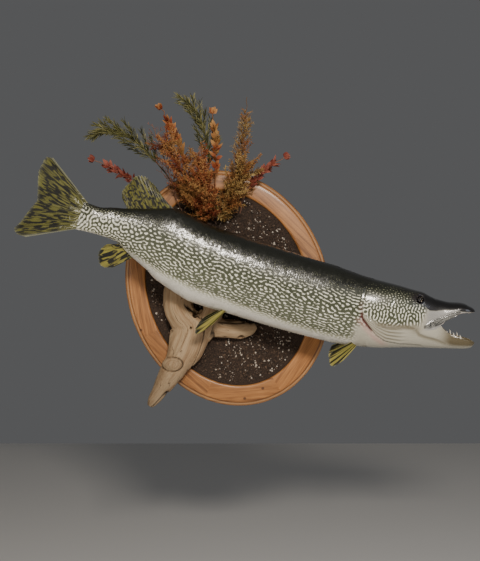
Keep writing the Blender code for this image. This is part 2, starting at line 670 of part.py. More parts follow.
# ---------------------------------------------------------------- driftwood
# Each limb is a list of (x, z, distance from the wall, half width across, half depth).
DRIFTWOOD_LIMBS = (
    ((-0.1782, -0.2700, 0.058, 0.006, 0.006), (-0.1700, -0.2570, 0.058, 0.0125, 0.013),
     (-0.1565, -0.2377, 0.058, 0.0170, 0.018), (-0.1385, -0.2092, 0.058, 0.0235, 0.024),
     (-0.1201, -0.1807, 0.057, 0.0290, 0.028), (-0.1043, -0.1523, 0.055, 0.0370, 0.029),
     (-0.0916, -0.1238, 0.053, 0.0420, 0.029), (-0.0850, -0.0953, 0.051, 0.0460, 0.028),
     (-0.1030, -0.0668, 0.050, 0.0340, 0.027), (-0.1150, -0.0383, 0.050, 0.0350, 0.027),
     (-0.1150, -0.0087, 0.051, 0.0320, 0.027), (-0.0950, 0.0278, 0.050, 0.0180, 0.020)),
    ((-0.0640, -0.1120, 0.050, 0.024, 0.022), (-0.0517, -0.0884, 0.050, 0.030, 0.024),
     (-0.0380, -0.0588, 0.050, 0.026, 0.024), (-0.0289, -0.0246, 0.050, 0.022, 0.024),
     (-0.0270, 0.0073, 0.050, 0.014, 0.018)),
    ((-0.0560, -0.0840, 0.045, 0.022, 0.020), (-0.0358, -0.0861, 0.046, 0.024, 0.020),
     (-0.0038, -0.0930, 0.045, 0.022, 0.018), (0.0258, -0.0953, 0.044, 0.021, 0.017),
     (0.0486, -0.0945, 0.043, 0.016, 0.014), (0.0645, -0.0873, 0.041, 0.007, 0.008)),
)
DRIFTWOOD_KNOT = (-0.1250, -0.1720, 0.079, 0.021)
DRIFTWOOD_SIDES = 12


def limb_rings(stations, phase):
    """Lumpy rings across a limb, which turns with its own line."""
    middles = [Vector((x, -out, z)) for x, z, out, _, _ in stations]
    rings = []
    for k, (middle, (_, _, _, wide, deep)) in enumerate(zip(middles, stations)):
        along = (middles[min(k + 1, len(middles) - 1)] - middles[max(k - 1, 0)]).normalized()
        across = along.cross(Vector((0, 1, 0))).normalized()
        out = across.cross(along)
        ring = []
        for j in range(DRIFTWOOD_SIDES):
            a = math.tau * j / DRIFTWOOD_SIDES
            around = across * math.cos(a) * wide + out * math.sin(a) * deep
            lump = 1 + 0.14 * noise.noise((middle + around) * 30 + Vector((phase, 0, 0)))
            ring.append(middle + around * lump)
        rings.append(ring)
    return rings


def make_driftwood(body):
    wood = finish_of("driftwood", DRIFTWOOD, 0.9)
    main = loft("driftwood", limb_rings(DRIFTWOOD_LIMBS[0], 0.0), wood)
    for k, limb in enumerate(DRIFTWOOD_LIMBS[1:]):
        boolean(main, loft(f"driftwood_limb_{k}", limb_rings(limb, 4.0 + k), None), "UNION")
    x, z, out, radius = DRIFTWOOD_KNOT
    knot = bmesh.new()
    shape = Matrix.Translation((x, -out, z)) @ Matrix.Rotation(math.radians(20), 4, "Y")
    shape = shape @ Matrix.Diagonal((1.0, 0.45, 0.62, 1.0))
    bmesh.ops.create_icosphere(knot, subdivisions=2, radius=radius, matrix=shape)
    boolean(main, add_object("driftwood_knot", knot, None), "UNION")
    room = bmesh.new()
    bmesh.ops.create_cube(room, size=1.0)
    wide = 0.8
    bmesh.ops.transform(room, verts=room.verts, matrix=Matrix.Translation(
        (0, wide / 2 - RIM_FRONT - GAP, 0)) @ Matrix.Scale(wide, 4))
    boolean(main, add_object("driftwood_back", room, None))
    boolean(main, body)
    return main


# ---------------------------------------------------------------- water plants
# Three points that draw the stem, as (x, z, distance from the wall), then the leaves' length,
# the pairs of them, how widely they stand off, and the finish.
PLANTS = {
    "fern_left": (((-0.082, 0.168, 0.022), (-0.213, 0.402, 0.116), (-0.312, 0.348, 0.070)),
                  0.034, 9, 42, "green_plant"),
    "fern_top": (((-0.054, 0.172, 0.022), (-0.016, 0.376, 0.082), (-0.109, 0.435, 0.060)),
                 0.030, 7, 34, "green_plant"),
    "spire_right": (((0.010, 0.172, 0.022), (0.035, 0.318, 0.088), (0.044, 0.437, 0.058)),
                    0.028, 8, 36, "tan_plant"),
    "sprig_red_left": (((-0.098, 0.160, 0.022), (-0.196, 0.246, 0.100), (-0.302, 0.288, 0.094)),
                       0.018, 5, 40, "red_plant"),
    "sprig_red_right": (((0.026, 0.168, 0.022), (0.038, 0.250, 0.084), (0.131, 0.300, 0.060)),
                        0.018, 6, 40, "red_plant"),
    "sprig_rust_left": (((-0.068, 0.174, 0.022), (-0.091, 0.315, 0.070), (-0.153, 0.408, 0.076)),
                        0.020, 6, 36, "rust_plant"),
    "sprig_rust_top": (((-0.036, 0.160, 0.022), (-0.018, 0.288, 0.122), (-0.033, 0.397, 0.084)),
                       0.022, 6, 34, "rust_plant"),
    "bush_left": (((-0.068, 0.154, 0.022), (-0.092, 0.256, 0.104), (-0.141, 0.329, 0.094)),
                  0.032, 5, 48, "rust_plant"),
    "bush_middle": (((-0.050, 0.150, 0.022), (-0.048, 0.205, 0.126), (-0.061, 0.287, 0.108)),
                    0.030, 5, 50, "rust_plant"),
    "bush_right": (((-0.012, 0.150, 0.022), (0.001, 0.212, 0.090), (0.042, 0.275, 0.088)),
                   0.028, 5, 48, "tan_plant"),
    "twig_pink": (((-0.106, 0.172, 0.022), (-0.137, 0.271, 0.100), (-0.166, 0.359, 0.062)),
                  0.012, 3, 38, "red_plant"),
}
PLANT_COLOURS = {"green_plant": GREEN_PLANT, "rust_plant": RUST_PLANT,
                 "red_plant": RED_PLANT, "tan_plant": TAN_PLANT}
STEM_RADIUS = 0.0022
LEAF_FOOT = 0.0024  # half the length of stem that a leaf grows from
LEAF_TIP = 0.45  # the leaf's tip as a share of its foot


def stem_point(line, t):
    """A point of the stem, on a curve from its root to its tip drawn by the bend between."""
    root, bend, tip = line
    return root * (1 - t) ** 2 + bend * 2 * t * (1 - t) + tip * t ** 2


def make_plant(name, line, leaf, pairs, spread, finish, soil_room):
    """A square stem with pairs of leaves drawn out of its sides, in one flat spray."""
    line = [Vector((x, -out, z)) for x, z, out in line]
    length = (line[1] - line[0]).length + (line[2] - line[1]).length
    feet = [0.36 + 0.60 * k / (pairs - 1) for k in range(pairs)]
    half = LEAF_FOOT / length
    stops = [0.0, 0.18] + [t + way * half for t in feet for way in (-1, 1)] + [1.0]
    build = bmesh.new()
    rings, frames = [], []
    for t in stops:
        point = stem_point(line, t)
        along = (stem_point(line, t + 0.02) - point).normalized()
        across = along.cross(Vector((0, 1, 0))).normalized()
        out = across.cross(along)
        thick = STEM_RADIUS * (1 - 0.55 * t)
        corners = ((1, -1), (1, 1), (-1, 1), (-1, -1))
        rings.append([build.verts.new(point + (across * a + out * b) * thick) for a, b in corners])
        frames.append((along, across))
    build.faces.new(rings[0][::-1])
    build.faces.new(rings[-1])
    for k, (near, far) in enumerate(zip(rings, rings[1:])):
        for j in range(4):
            face = build.faces.new((near[j], near[(j + 1) % 4], far[(j + 1) % 4], far[j]))
            if k < 2 or k % 2 or j % 2:
                continue
            along, across = frames[k]
            way = along * math.cos(math.radians(spread))
            way += across * math.sin(math.radians(spread)) * (1 if j == 0 else -1)
            grow_leaf(build, face, way * leaf * (1 - 0.35 * (k / len(stops)) ** 2))
    plant = add_object(name, build, finish_of(finish, PLANT_COLOURS[finish], 0.7))
    boolean(plant, soil_room)
    return plant


def grow_leaf(build, face, way):
    """Draws a face out into a leaf that ends in a small blunt tip."""
    foot = face.calc_center_median()
    tip = bmesh.ops.extrude_discrete_faces(build, faces=[face])["faces"][0]
    for vertex in tip.verts:
        vertex.co = foot + way + (vertex.co - foot) * LEAF_TIP


def make_plants(soil_room):
    for name, values in PLANTS.items():
        make_plant(name, *values, soil_room)


# ---------------------------------------------------------------- the whole mount
def main():
    clear_scene()
    make_back_panel()
    make_rim()
    add_soil("soil_bed", 0.0, finish_of("soil", SOIL, 0.95))
    make_trunk()
    make_head()
    make_upper_jaw()
    make_lower_jaw()
    make_tongue()
    make_eyes()
    body = make_body_clearance()
    for sign, side in ((1, "right"), (-1, "left")):
        make_gill_cover(sign, f"gill_cover_{side}", body)
        make_maxilla(sign, f"maxilla_{side}")
    make_fins(body)
    make_driftwood(body)
    make_plants(add_soil("soil_room", 2 * GAP, None))


main()
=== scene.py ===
"""Builds the looks of a mounted northern pike around its solid model.

The fish is one seamless skin with solid scales over it, fins with raised rays and glass eyes.
It is fixed before an oval plaque of wood, soil, driftwood and dried plants. Metres, +Z up, with
the wall at y = 0. In the fish's own coordinates `s` is the distance back from the tip of the
jaws, `ahead` the distance forwards of the gill opening, `up` points to the back fin and `side`
out of the right flank.
"""
import logging
import math
from dataclasses import dataclass
from enum import Enum

import bmesh
import bpy
import numpy as np
from mathutils import Matrix, Vector, noise
from mathutils.bvhtree import BVHTree


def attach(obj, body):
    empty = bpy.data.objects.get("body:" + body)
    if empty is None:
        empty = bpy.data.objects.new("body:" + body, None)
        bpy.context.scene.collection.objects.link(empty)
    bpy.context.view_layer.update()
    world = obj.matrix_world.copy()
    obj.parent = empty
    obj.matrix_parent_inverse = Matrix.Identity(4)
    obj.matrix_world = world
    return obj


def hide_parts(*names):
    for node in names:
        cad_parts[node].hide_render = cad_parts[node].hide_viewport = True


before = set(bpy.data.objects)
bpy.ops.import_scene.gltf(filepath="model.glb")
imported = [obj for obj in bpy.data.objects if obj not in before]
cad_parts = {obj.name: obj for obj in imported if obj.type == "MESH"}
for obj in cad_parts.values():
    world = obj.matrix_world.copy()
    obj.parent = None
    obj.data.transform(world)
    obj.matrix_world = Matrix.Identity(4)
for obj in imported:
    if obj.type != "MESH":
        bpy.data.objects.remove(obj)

logging.basicConfig(level=logging.INFO, format="%(message)s")
log = logging.getLogger("pike")
Array = np.ndarray
Rows = tuple[tuple[float, ...], ...]
Socket = bpy.types.NodeSocket
RIGHT, LEFT = 1, -1
SIDES = {RIGHT: "right", LEFT: "left"}


# ---------------------------------------------------------------- materials
def linear(code: str) -> tuple[float, float, float, float]:
    """Turns an sRGB colour such as "#8A6A2A" into linear red, green, blue and alpha."""
    parts = [int(code[i:i + 2], 16) / 255 for i in (1, 3, 5)]
    return (*(p / 12.92 if p <= 0.04045 else ((p + 0.055) / 1.055) ** 2.4 for p in parts), 1.0)


class Paint:
    """A material as it is mixed: its nodes and the shader that they feed."""

    def __init__(self, name: str, values: dict) -> None:
        self.made = bpy.data.materials.new(name)
        self.made.use_nodes = True
        self.tree = self.made.node_tree
        self.shader = self.tree.nodes["Principled BSDF"].inputs
        for key, value in values.items():
            self.shader[key].default_value = value

    def add(self, kind: str, values: dict | None = None, stops: tuple = (),
            out: int | str = 0, **settings) -> Socket:
        """Adds a shader node with its settings and links.

        Args:
            kind: the node's type, without the "ShaderNode" it starts with.
            values: for an input's name or index, the socket that feeds it, a number or a colour.
            stops: (place, colour code) pairs for a colour ramp.
            out: the name of the output that is wanted, or its place among those in use.
            settings: the node's own properties.

        Returns:
            The node's output.
        """
        node = self.tree.nodes.new(f"ShaderNode{kind}")
        for key, value in settings.items():
            setattr(node, key, value)
        for key, value in (values or {}).items():
            if isinstance(value, Socket):
                self.tree.links.new(value, node.inputs[key])
            else:
                node.inputs[key].default_value = linear(value) if isinstance(value, str) else value
        for k, (place, code) in enumerate(stops):
            ramp = node.color_ramp.elements
            stop = ramp[k] if k < len(ramp) else ramp.new(place)
            stop.position = place
            stop.color = linear(code)
        return node.outputs[out] if isinstance(out, str) else [
            socket for socket in node.outputs if socket.enabled][out]

    def stored(self, name: str) -> list[Socket]:
        """The four numbers that add_values keeps on a piece by that name."""
        outputs = self.add("Attribute", attribute_name=name).node.outputs
        parts = self.add("SeparateColor", {0: outputs["Color"]}).node.outputs
        return [*parts, outputs["Alpha"]]

    def fibres(self, where: Socket, scale: tuple, values: dict | None = None, **settings
               ) -> Socket:
        """A noise that is drawn out, with so many waves in a metre along each axis."""
        spread = self.add("Mapping", {"Vector": where, "Scale": scale})
        return self.add("TexNoise", {"Vector": spread, "Scale": 1.0, **(values or {})}, **settings)

    def winding(self, pattern: Socket) -> Socket:
        """How far a noise is from its middle, which it crosses along winding lines."""
        off = self.add("Math", {0: pattern, 1: 0.5}, operation="SUBTRACT")
        return self.add("Math", {0: off}, operation="ABSOLUTE")

    def finish(self, colour: Socket, coats: tuple = (), relief: tuple = (),
               layers: tuple = ("Normal",)) -> bpy.types.Material:
        """Lays coats over a colour and feeds the shader with it and a fine relief.

        Args:
            colour: the ground.
            coats: how much there is of each coat and its colour, from the lowest up.
            relief: the height, its strength and its depth in metres.
            layers: the shader's inputs that the relief bends.

        Returns:
            The material.
        """
        for amount, over in coats:
            colour = self.add("Mix", {0: amount, 6: colour, 7: over}, data_type="RGBA")
        self.tree.links.new(colour, self.shader["Base Color"])
        if relief:
            height, strength, deep = relief
            bent = self.add("Bump", {"Height": height, "Strength": strength, "Distance": deep})
            for layer in layers:
                self.tree.links.new(bent, self.shader[layer])
        return self.made


# ---------------------------------------------------------------- shapes
def smooth(low: float, high: float, x: Array) -> Array:
    """Rises from 0 at low to 1 at high, with level ends. It falls where high is below low."""
    t = np.clip((np.asarray(x, float) - low) / (high - low), 0, 1)
    return t * t * (3 - 2 * t)


def bump(x: Array, width: float) -> Array:
    """A soft hump, 1 at x = 0 and nearly gone at twice the width."""
    return np.exp(-(np.asarray(x, float) / width) ** 2)


def unit(v: Array) -> Array:
    """The vectors at length 1."""
    return v / (np.linalg.norm(v, axis=-1, keepdims=True) + 1e-12)


def along_line(line: Array) -> Array:
    """The distance of each point from the first, along their line."""
    return np.concatenate([[0], np.cumsum(np.linalg.norm(np.diff(line, axis=0), axis=1))])


def polyline(line: Rows, x: Array, y: Array) -> tuple[Array, Array]:
    """Where points lie beside a line.

    Args:
        line: its corners.
        x: the points' first coordinates.
        y: their second ones.

    Returns:
        The distance from the line, positive on its left, and the share of it passed.
    """
    best = np.full(np.shape(x), 9.0)
    found, share = best.copy(), np.zeros_like(best)
    for k, ((ax, ay), (bx, by)) in enumerate(zip(line, line[1:])):
        dx, dy = bx - ax, by - ay
        t = np.clip(((x - ax) * dx + (y - ay) * dy) / (dx * dx + dy * dy), 0, 1)
        gap = np.hypot(x - ax - t * dx, y - ay - t * dy)
        nearer = gap < best
        best = np.where(nearer, gap, best)
        left = np.sign(dx * (y - ay) - dy * (x - ax))
        found = np.where(nearer, gap * left, found)
        share = np.where(nearer, (k + t) / (len(line) - 1), share)
    return found, share


class Curve:
    """A smooth curve through rows of numbers that never overshoots them."""

    def __init__(self, rows: Rows, column: int = 1) -> None:
        self.x = np.array([row[0] for row in rows], float)
        self.y = np.array([row[column] for row in rows], float)
        rise = np.diff(self.y) / np.diff(self.x)
        both = rise[:-1] * rise[1:]
        middle = np.where(both > 0, 2 * both / np.where(both > 0, rise[:-1] + rise[1:], 1), 0)
        self.slope = np.concatenate([rise[:1], middle, rise[-1:]])

    def __call__(self, x: Array | float) -> Array:
        """The curve's height at x, held level past both ends."""
        x = np.clip(np.asarray(x, float), self.x[0], self.x[-1])
        k = np.clip(np.searchsorted(self.x, x, "right") - 1, 0, len(self.x) - 2)
        span = self.x[k + 1] - self.x[k]
        t = (x - self.x[k]) / span
        return ((1 + 2 * t) * (1 - t) ** 2 * self.y[k] + t * (1 - t) ** 2 * span * self.slope[k]
                + t * t * (3 - 2 * t) * self.y[k + 1] - t * t * (1 - t) * span * self.slope[k + 1])


def through(stops: Array, table: Array, fine: Array) -> Array:
    """Rows of numbers on smooth curves through a table's rows, which stand at the stops."""
    return np.stack([Curve(tuple(zip(stops, column)))(fine) for column in table.T], -1)


def grid_faces(index: Array) -> list:
    """The quads between the rows of a table of vertex numbers."""
    a, b, c, d = index[:-1, :-1], index[:-1, 1:], index[1:, 1:], index[1:, :-1]
    return np.stack([a, b, c, d], -1).reshape(-1, 4).tolist()


def tube_faces(rows: int, sides: int, first: int = 0, ends: bool = True) -> list:
    """The faces of a tube whose rings of vertices are numbered in order."""
    rings = np.arange(rows * sides).reshape(rows, sides) + first
    faces = grid_faces(np.hstack([rings, rings[:, :1]]))
    return faces + [rings[0].tolist(), rings[-1][::-1].tolist()] if ends else faces


def zip_faces(near: Array, far: Array) -> list:
    """The faces that close the gap between two rows that may share their ends."""
    quads = (list(dict.fromkeys(map(int, quad)))
             for quad in zip(near[:-1], near[1:], far[1:], far[:-1]))
    return [corners for corners in quads if len(corners) > 2]


def join_copies(faces: list, places: Array) -> tuple[Array, list]:
    """Joins copies of one small shape.

    Args:
        faces: the shape's own faces.
        places: (copies, points, 3), where each copy's points go.
    """
    count = places.shape[1]
    made = [[v + count * k for v in face] for k in range(len(places)) for face in faces]
    return places.reshape(-1, 3), made


def face_out(mesh: bpy.types.Mesh) -> None:
    """Turns every face of a closed mesh outwards."""
    build = bmesh.new()
    build.from_mesh(mesh)
    bmesh.ops.recalc_face_normals(build, faces=build.faces)
    build.to_mesh(mesh)
    build.free()


def add_piece(name: str, points: Array, faces: list, material: bpy.types.Material,
              *, tidy: bool = True, sharp: float = 40.0, replaces: tuple[str, ...] = ()
              ) -> bpy.types.Object:
    """Makes a mesh object that rides on the mount.

    Args:
        points: its vertices in metres, in the model's frame.
        faces: vertex numbers of each face.
        tidy: whether to turn all faces outwards, for a closed shell.
        sharp: edges that bend more than this many degrees stay sharp.
        replaces: the solids that it stands for.

    Returns:
        The object.
    """
    mesh = bpy.data.meshes.new(name)
    mesh.from_pydata(points.reshape(-1, 3).tolist(), [], faces)
    if tidy:
        face_out(mesh)
    mesh.shade_smooth()
    mesh.set_sharp_from_angle(angle=math.radians(sharp))
    mesh.materials.append(material)
    made = bpy.data.objects.new(name, mesh)
    bpy.context.scene.collection.objects.link(made)
    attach(made, "root")
    if replaces:
        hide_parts(*replaces)
    log.info("%s: %d triangles", name, sum(len(p.vertices) - 2 for p in mesh.polygons))
    return made


def add_values(piece: bpy.types.Object, name: str, values: Array) -> None:
    """Stores up to four numbers for each vertex, which the material reads by that name."""
    if values.ndim == 1:
        layer = piece.data.attributes.new(name, "FLOAT", "POINT")
        layer.data.foreach_set("value", values.astype(np.float32))
        return
    full = np.ones((len(values), 4), np.float32)
    full[:, :values.shape[1]] = values
    layer = piece.data.attributes.new(name, "FLOAT_COLOR", "POINT")
    layer.data.foreach_set("color", full.ravel())


def corners_of(mesh: bpy.types.Mesh) -> Array:
    """The vertex at each corner of each face."""
    corners = np.zeros(len(mesh.loops), np.int32)
    mesh.loops.foreach_get("vertex_index", corners)
    return corners


def add_map(piece: bpy.types.Object, name: str, places: Array) -> None:
    """Gives the piece a UV map from one (u, v) for each vertex."""
    layer = piece.data.uv_layers.new(name=name)
    places = np.asarray(places, np.float32).reshape(-1, 2)
    layer.data.foreach_set("uv", places[corners_of(piece.data)].ravel())


# ---------------------------------------------------------------- the pike's shape
CHEEK_LINE = ((0, 0.0), (0.050, -0.0050), (0.100, -0.0115), (0.137, -0.0150), (0.1565, -0.0110),
              (0.1685, -0.0045))


@dataclass(frozen=True)
class PikeSizes:
    """The measures of a pike a little over a metre long, as the solids have them."""
    head: float = 0.244
    trunk: float = 0.650
    gill: tuple = (0.293, -0.140, -0.047)
    tail: tuple = (-0.320, -0.152, 0.161)
    head_way: tuple = (0.987, -0.074, -0.145)
    neck_pull: float = 0.178
    tail_pull: tuple = (0.2010, 0.0345, -0.0635)
    roll: float = math.radians(5)  # the back leans towards the viewer
    # Distance from the jaw tip, height over and depth under the spine, and half width.
    stations: Rows = (
        (0.244, 0.0740, 0.0800, 0.0500), (0.285, 0.0800, 0.0815, 0.0520),
        (0.333, 0.0850, 0.0820, 0.0545), (0.422, 0.0850, 0.0850, 0.0550),
        (0.473, 0.0845, 0.0875, 0.0550), (0.523, 0.0815, 0.0900, 0.0545),
        (0.560, 0.0810, 0.0935, 0.0535), (0.602, 0.0780, 0.0955, 0.0520),
        (0.635, 0.0785, 0.0905, 0.0500), (0.660, 0.0805, 0.0855, 0.0475),
        (0.697, 0.0840, 0.0750, 0.0425), (0.715, 0.0810, 0.0655, 0.0395),
        (0.738, 0.0715, 0.0570, 0.0350), (0.762, 0.0615, 0.0480, 0.0305),
        (0.785, 0.0530, 0.0370, 0.0265), (0.801, 0.0465, 0.0300, 0.0235),
        (0.832, 0.0375, 0.0290, 0.0185), (0.862, 0.0285, 0.0305, 0.0145),
        (0.894, 0.0290, 0.0335, 0.0085))
    # The head's lines by the distance forwards of the gill opening.
    crown: Rows = ((0, 0.0740), (0.031, 0.0705), (0.053, 0.0680), (0.075, 0.0655), (0.098, 0.0620),
                   (0.122, 0.0585), (0.145, 0.0515), (0.162, 0.0475), (0.184, 0.0455),
                   (0.209, 0.0475), (0.217, 0.0470), (0.226, 0.0440), (0.2365, 0.0400),
                   (0.242, 0.0352))
    chin: Rows = ((0, -0.0800), (0.043, -0.0775), (0.075, -0.0725), (0.124, -0.0645),
                  (0.182, -0.0575), (0.224, -0.0520), (0.245, -0.0470), (0.252, -0.0385))
    upper_lip: Rows = (*CHEEK_LINE, (0.1815, 0.0080), (0.197, 0.0190), (0.208, 0.0275),
                       (0.219, 0.0300), (0.2275, 0.0313), (0.234, 0.0320), (0.242, 0.0335))
    lower_lip: Rows = (*CHEEK_LINE, (0.1785, -0.0130), (0.1905, -0.0200), (0.198, -0.0250),
                       (0.207, -0.0275), (0.229, -0.0290), (0.2415, -0.0305), (0.252, -0.0345))
    palate: Rows = ((0.050, -0.004), (0.080, 0.000), (0.104, 0.008), (0.160, 0.0150),
                    (0.190, 0.0250), (0.212, 0.0330), (0.228, 0.0350), (0.240, 0.0350))
    floor: Rows = ((0.050, -0.018), (0.080, -0.026), (0.104, -0.0330), (0.170, -0.0400),
                   (0.215, -0.0410), (0.240, -0.0385), (0.250, -0.0355))
    snout: Rows = ((0, 0.0500), (0.025, 0.0520), (0.060, 0.0500), (0.100, 0.0435), (0.122, 0.0390),
                   (0.144, 0.0355), (0.174, 0.0320), (0.200, 0.0300), (0.217, 0.0280),
                   (0.229, 0.0235), (0.2365, 0.0170), (0.2405, 0.0095), (0.242, 0.0030))
    jaw: Rows = ((0, 0.0500), (0.025, 0.0520), (0.060, 0.0500), (0.100, 0.0435), (0.122, 0.0390),
                 (0.144, 0.0355), (0.174, 0.0320), (0.200, 0.0290), (0.222, 0.0250),
                 (0.237, 0.0200), (0.246, 0.0130), (0.2505, 0.0070), (0.252, 0.0025))
    joint: float = 0.104  # forwards of the gill opening, where the jaws part from the head
    corner: float = 0.1685  # the corner of the mouth
    throat: float = 0.050
    lip: float = 0.0055
    eye: tuple = (0.119, 0.0445)
    eye_radius: float = 0.0088
    eye_proud: float = 0.0030
    eye_out: float = 0.0320


class Pike:
    """The pike's own coordinates and outlines, for many points at once."""

    def __init__(self, sizes: PikeSizes) -> None:
        self.sizes = sizes
        way = Vector(sizes.head_way).normalized()
        gill, tail = np.array(sizes.gill), np.array(sizes.tail)
        bend = gill - np.array(way) * sizes.neck_pull, tail + np.array(sizes.tail_pull)
        t = np.linspace(0, 1, 401)[:, None]
        self.line = (gill * (1 - t) ** 3 + bend[0] * 3 * t * (1 - t) ** 2
                     + bend[1] * 3 * t * t * (1 - t) + tail * t ** 3)
        self.lengths = along_line(self.line)
        self.way = np.array(way)
        names = ("crown", "chin", "upper_lip", "lower_lip", "palate", "floor", "snout", "jaw")
        self.curves = {name: Curve(getattr(sizes, name)) for name in names}
        self.trunk = [Curve(sizes.stations, k) for k in (1, 2, 3)]

    def spine(self, s: Array) -> Array:
        """Points of the spine at the distances s from the jaw tip."""
        behind = np.asarray(s, float)[..., None] - self.sizes.head
        inside = behind[..., 0].clip(0, self.lengths[-1])
        on_line = np.stack([np.interp(inside, self.lengths, axis) for axis in self.line.T], -1)
        last = unit(self.line[-1] - self.line[-2])
        return (on_line - self.way * np.minimum(behind, 0)
                + last * np.maximum(behind - self.lengths[-1], 0))

    def place(self, s: Array, up: Array, side: Array) -> Array:
        """Places points of the pike's own coordinates.

        Args:
            s: their distance back from the tip of the jaws.
            up: how high they are over the spine.
            side: how far out of the right flank.

        Returns:
            The points in the model's frame.
        """
        s, up, side = np.broadcast_arrays(*(np.asarray(v, float) for v in (s, up, side)))
        back = unit(self.spine(s + 0.004) - self.spine(s - 0.004))
        out = unit(np.cross(np.array((0.0, 0.0, 1.0)), back))
        over = np.cross(back, out)
        c, q = math.cos(self.sizes.roll), -math.sin(self.sizes.roll)
        over, out = over * c + np.cross(back, over) * q, out * c + np.cross(back, out) * q
        return self.spine(s) + over * up[..., None] + out * side[..., None]

    def at(self, ahead: float, up: float, side: float) -> Vector:
        """One point, from its distance forwards of the gill opening."""
        return Vector(self.place(self.sizes.head - ahead, up, side).ravel())

    def half_widths(self, s: Array) -> tuple[Array, Array]:
        """Half the width over the mouth and under it."""
        ahead = self.sizes.head - s
        trunk = self.trunk[2](s)
        return (np.where(ahead > 0, self.curves["snout"](ahead), trunk),
                np.where(ahead > 0, self.curves["jaw"](ahead), trunk))

    def heights(self, s: Array) -> tuple[Array, Array, Array, Array]:
        """The top, the upper lip or side line, the lower lip or side line, and the bottom."""
        ahead = self.sizes.head - s
        fore = ahead > 0
        top = np.where(fore, self.curves["crown"](ahead), self.trunk[0](s))
        bottom = np.where(fore, self.curves["chin"](ahead), -self.trunk[1](s))
        upper = np.where(fore, self.curves["upper_lip"](ahead), 0.0)
        lower = np.where(fore, np.minimum(self.curves["lower_lip"](ahead), upper), 0.0)
        return top, upper, lower, bottom

    def arc(self, turn: Array, foot: Array, tip: Array, half: Array, square: Array
            ) -> tuple[Array, Array]:
        """Runs round half a section.

        Args:
            turn: 0 at the right to pi at the left.
            foot: the height of its ends.
            tip: the height of its middle.
            half: half its width.
            square: 2 for an ellipse, more for a boxy section.

        Returns:
            How high and how far out each point is.
        """
        across, rise = np.cos(turn), np.sin(turn).clip(0, 1)
        side = np.sign(across) * np.abs(across) ** (2 / square) * half
        return foot + (tip - foot) * rise ** (2 / square), side

    def quarter(self, s: Array) -> Array:
        """The distance round the body from the side line to the middle of the back."""
        top, upper, lower, bottom = self.heights(s)
        return (self.half_widths(s)[0] + (top - upper + lower - bottom) / 2) * math.pi / 4

    def squareness(self, s: Array) -> tuple[Array, Array]:
        """How boxy a section is over and under the side line."""
        share = ((self.sizes.head - s) / self.sizes.joint).clip(0, 1)
        return 2.3 + 0.4 * share, 2.15 - 0.15 * share


@dataclass(frozen=True)
class MarkingSizes:
    """The spacing of a pike's pale marks along and around the body, in metres."""
    cell: float = 0.0007
    low: float = -0.17  # where the field starts and how far it runs, round the body
    reach: float = 0.33
    fine: tuple = (0.0046, 0.0038)
    dashes: tuple = (0.0114, 0.0048)
    low_dashes: tuple = (0.0086, 0.0045)
    cheek_worms: tuple = (0.0066, 0.0053)
    tail_worms: tuple = (0.0074, 0.0062)
    dots: tuple = (0.0054, 0.0050)  # on the crown and on the tail's back
    seed: int = 4


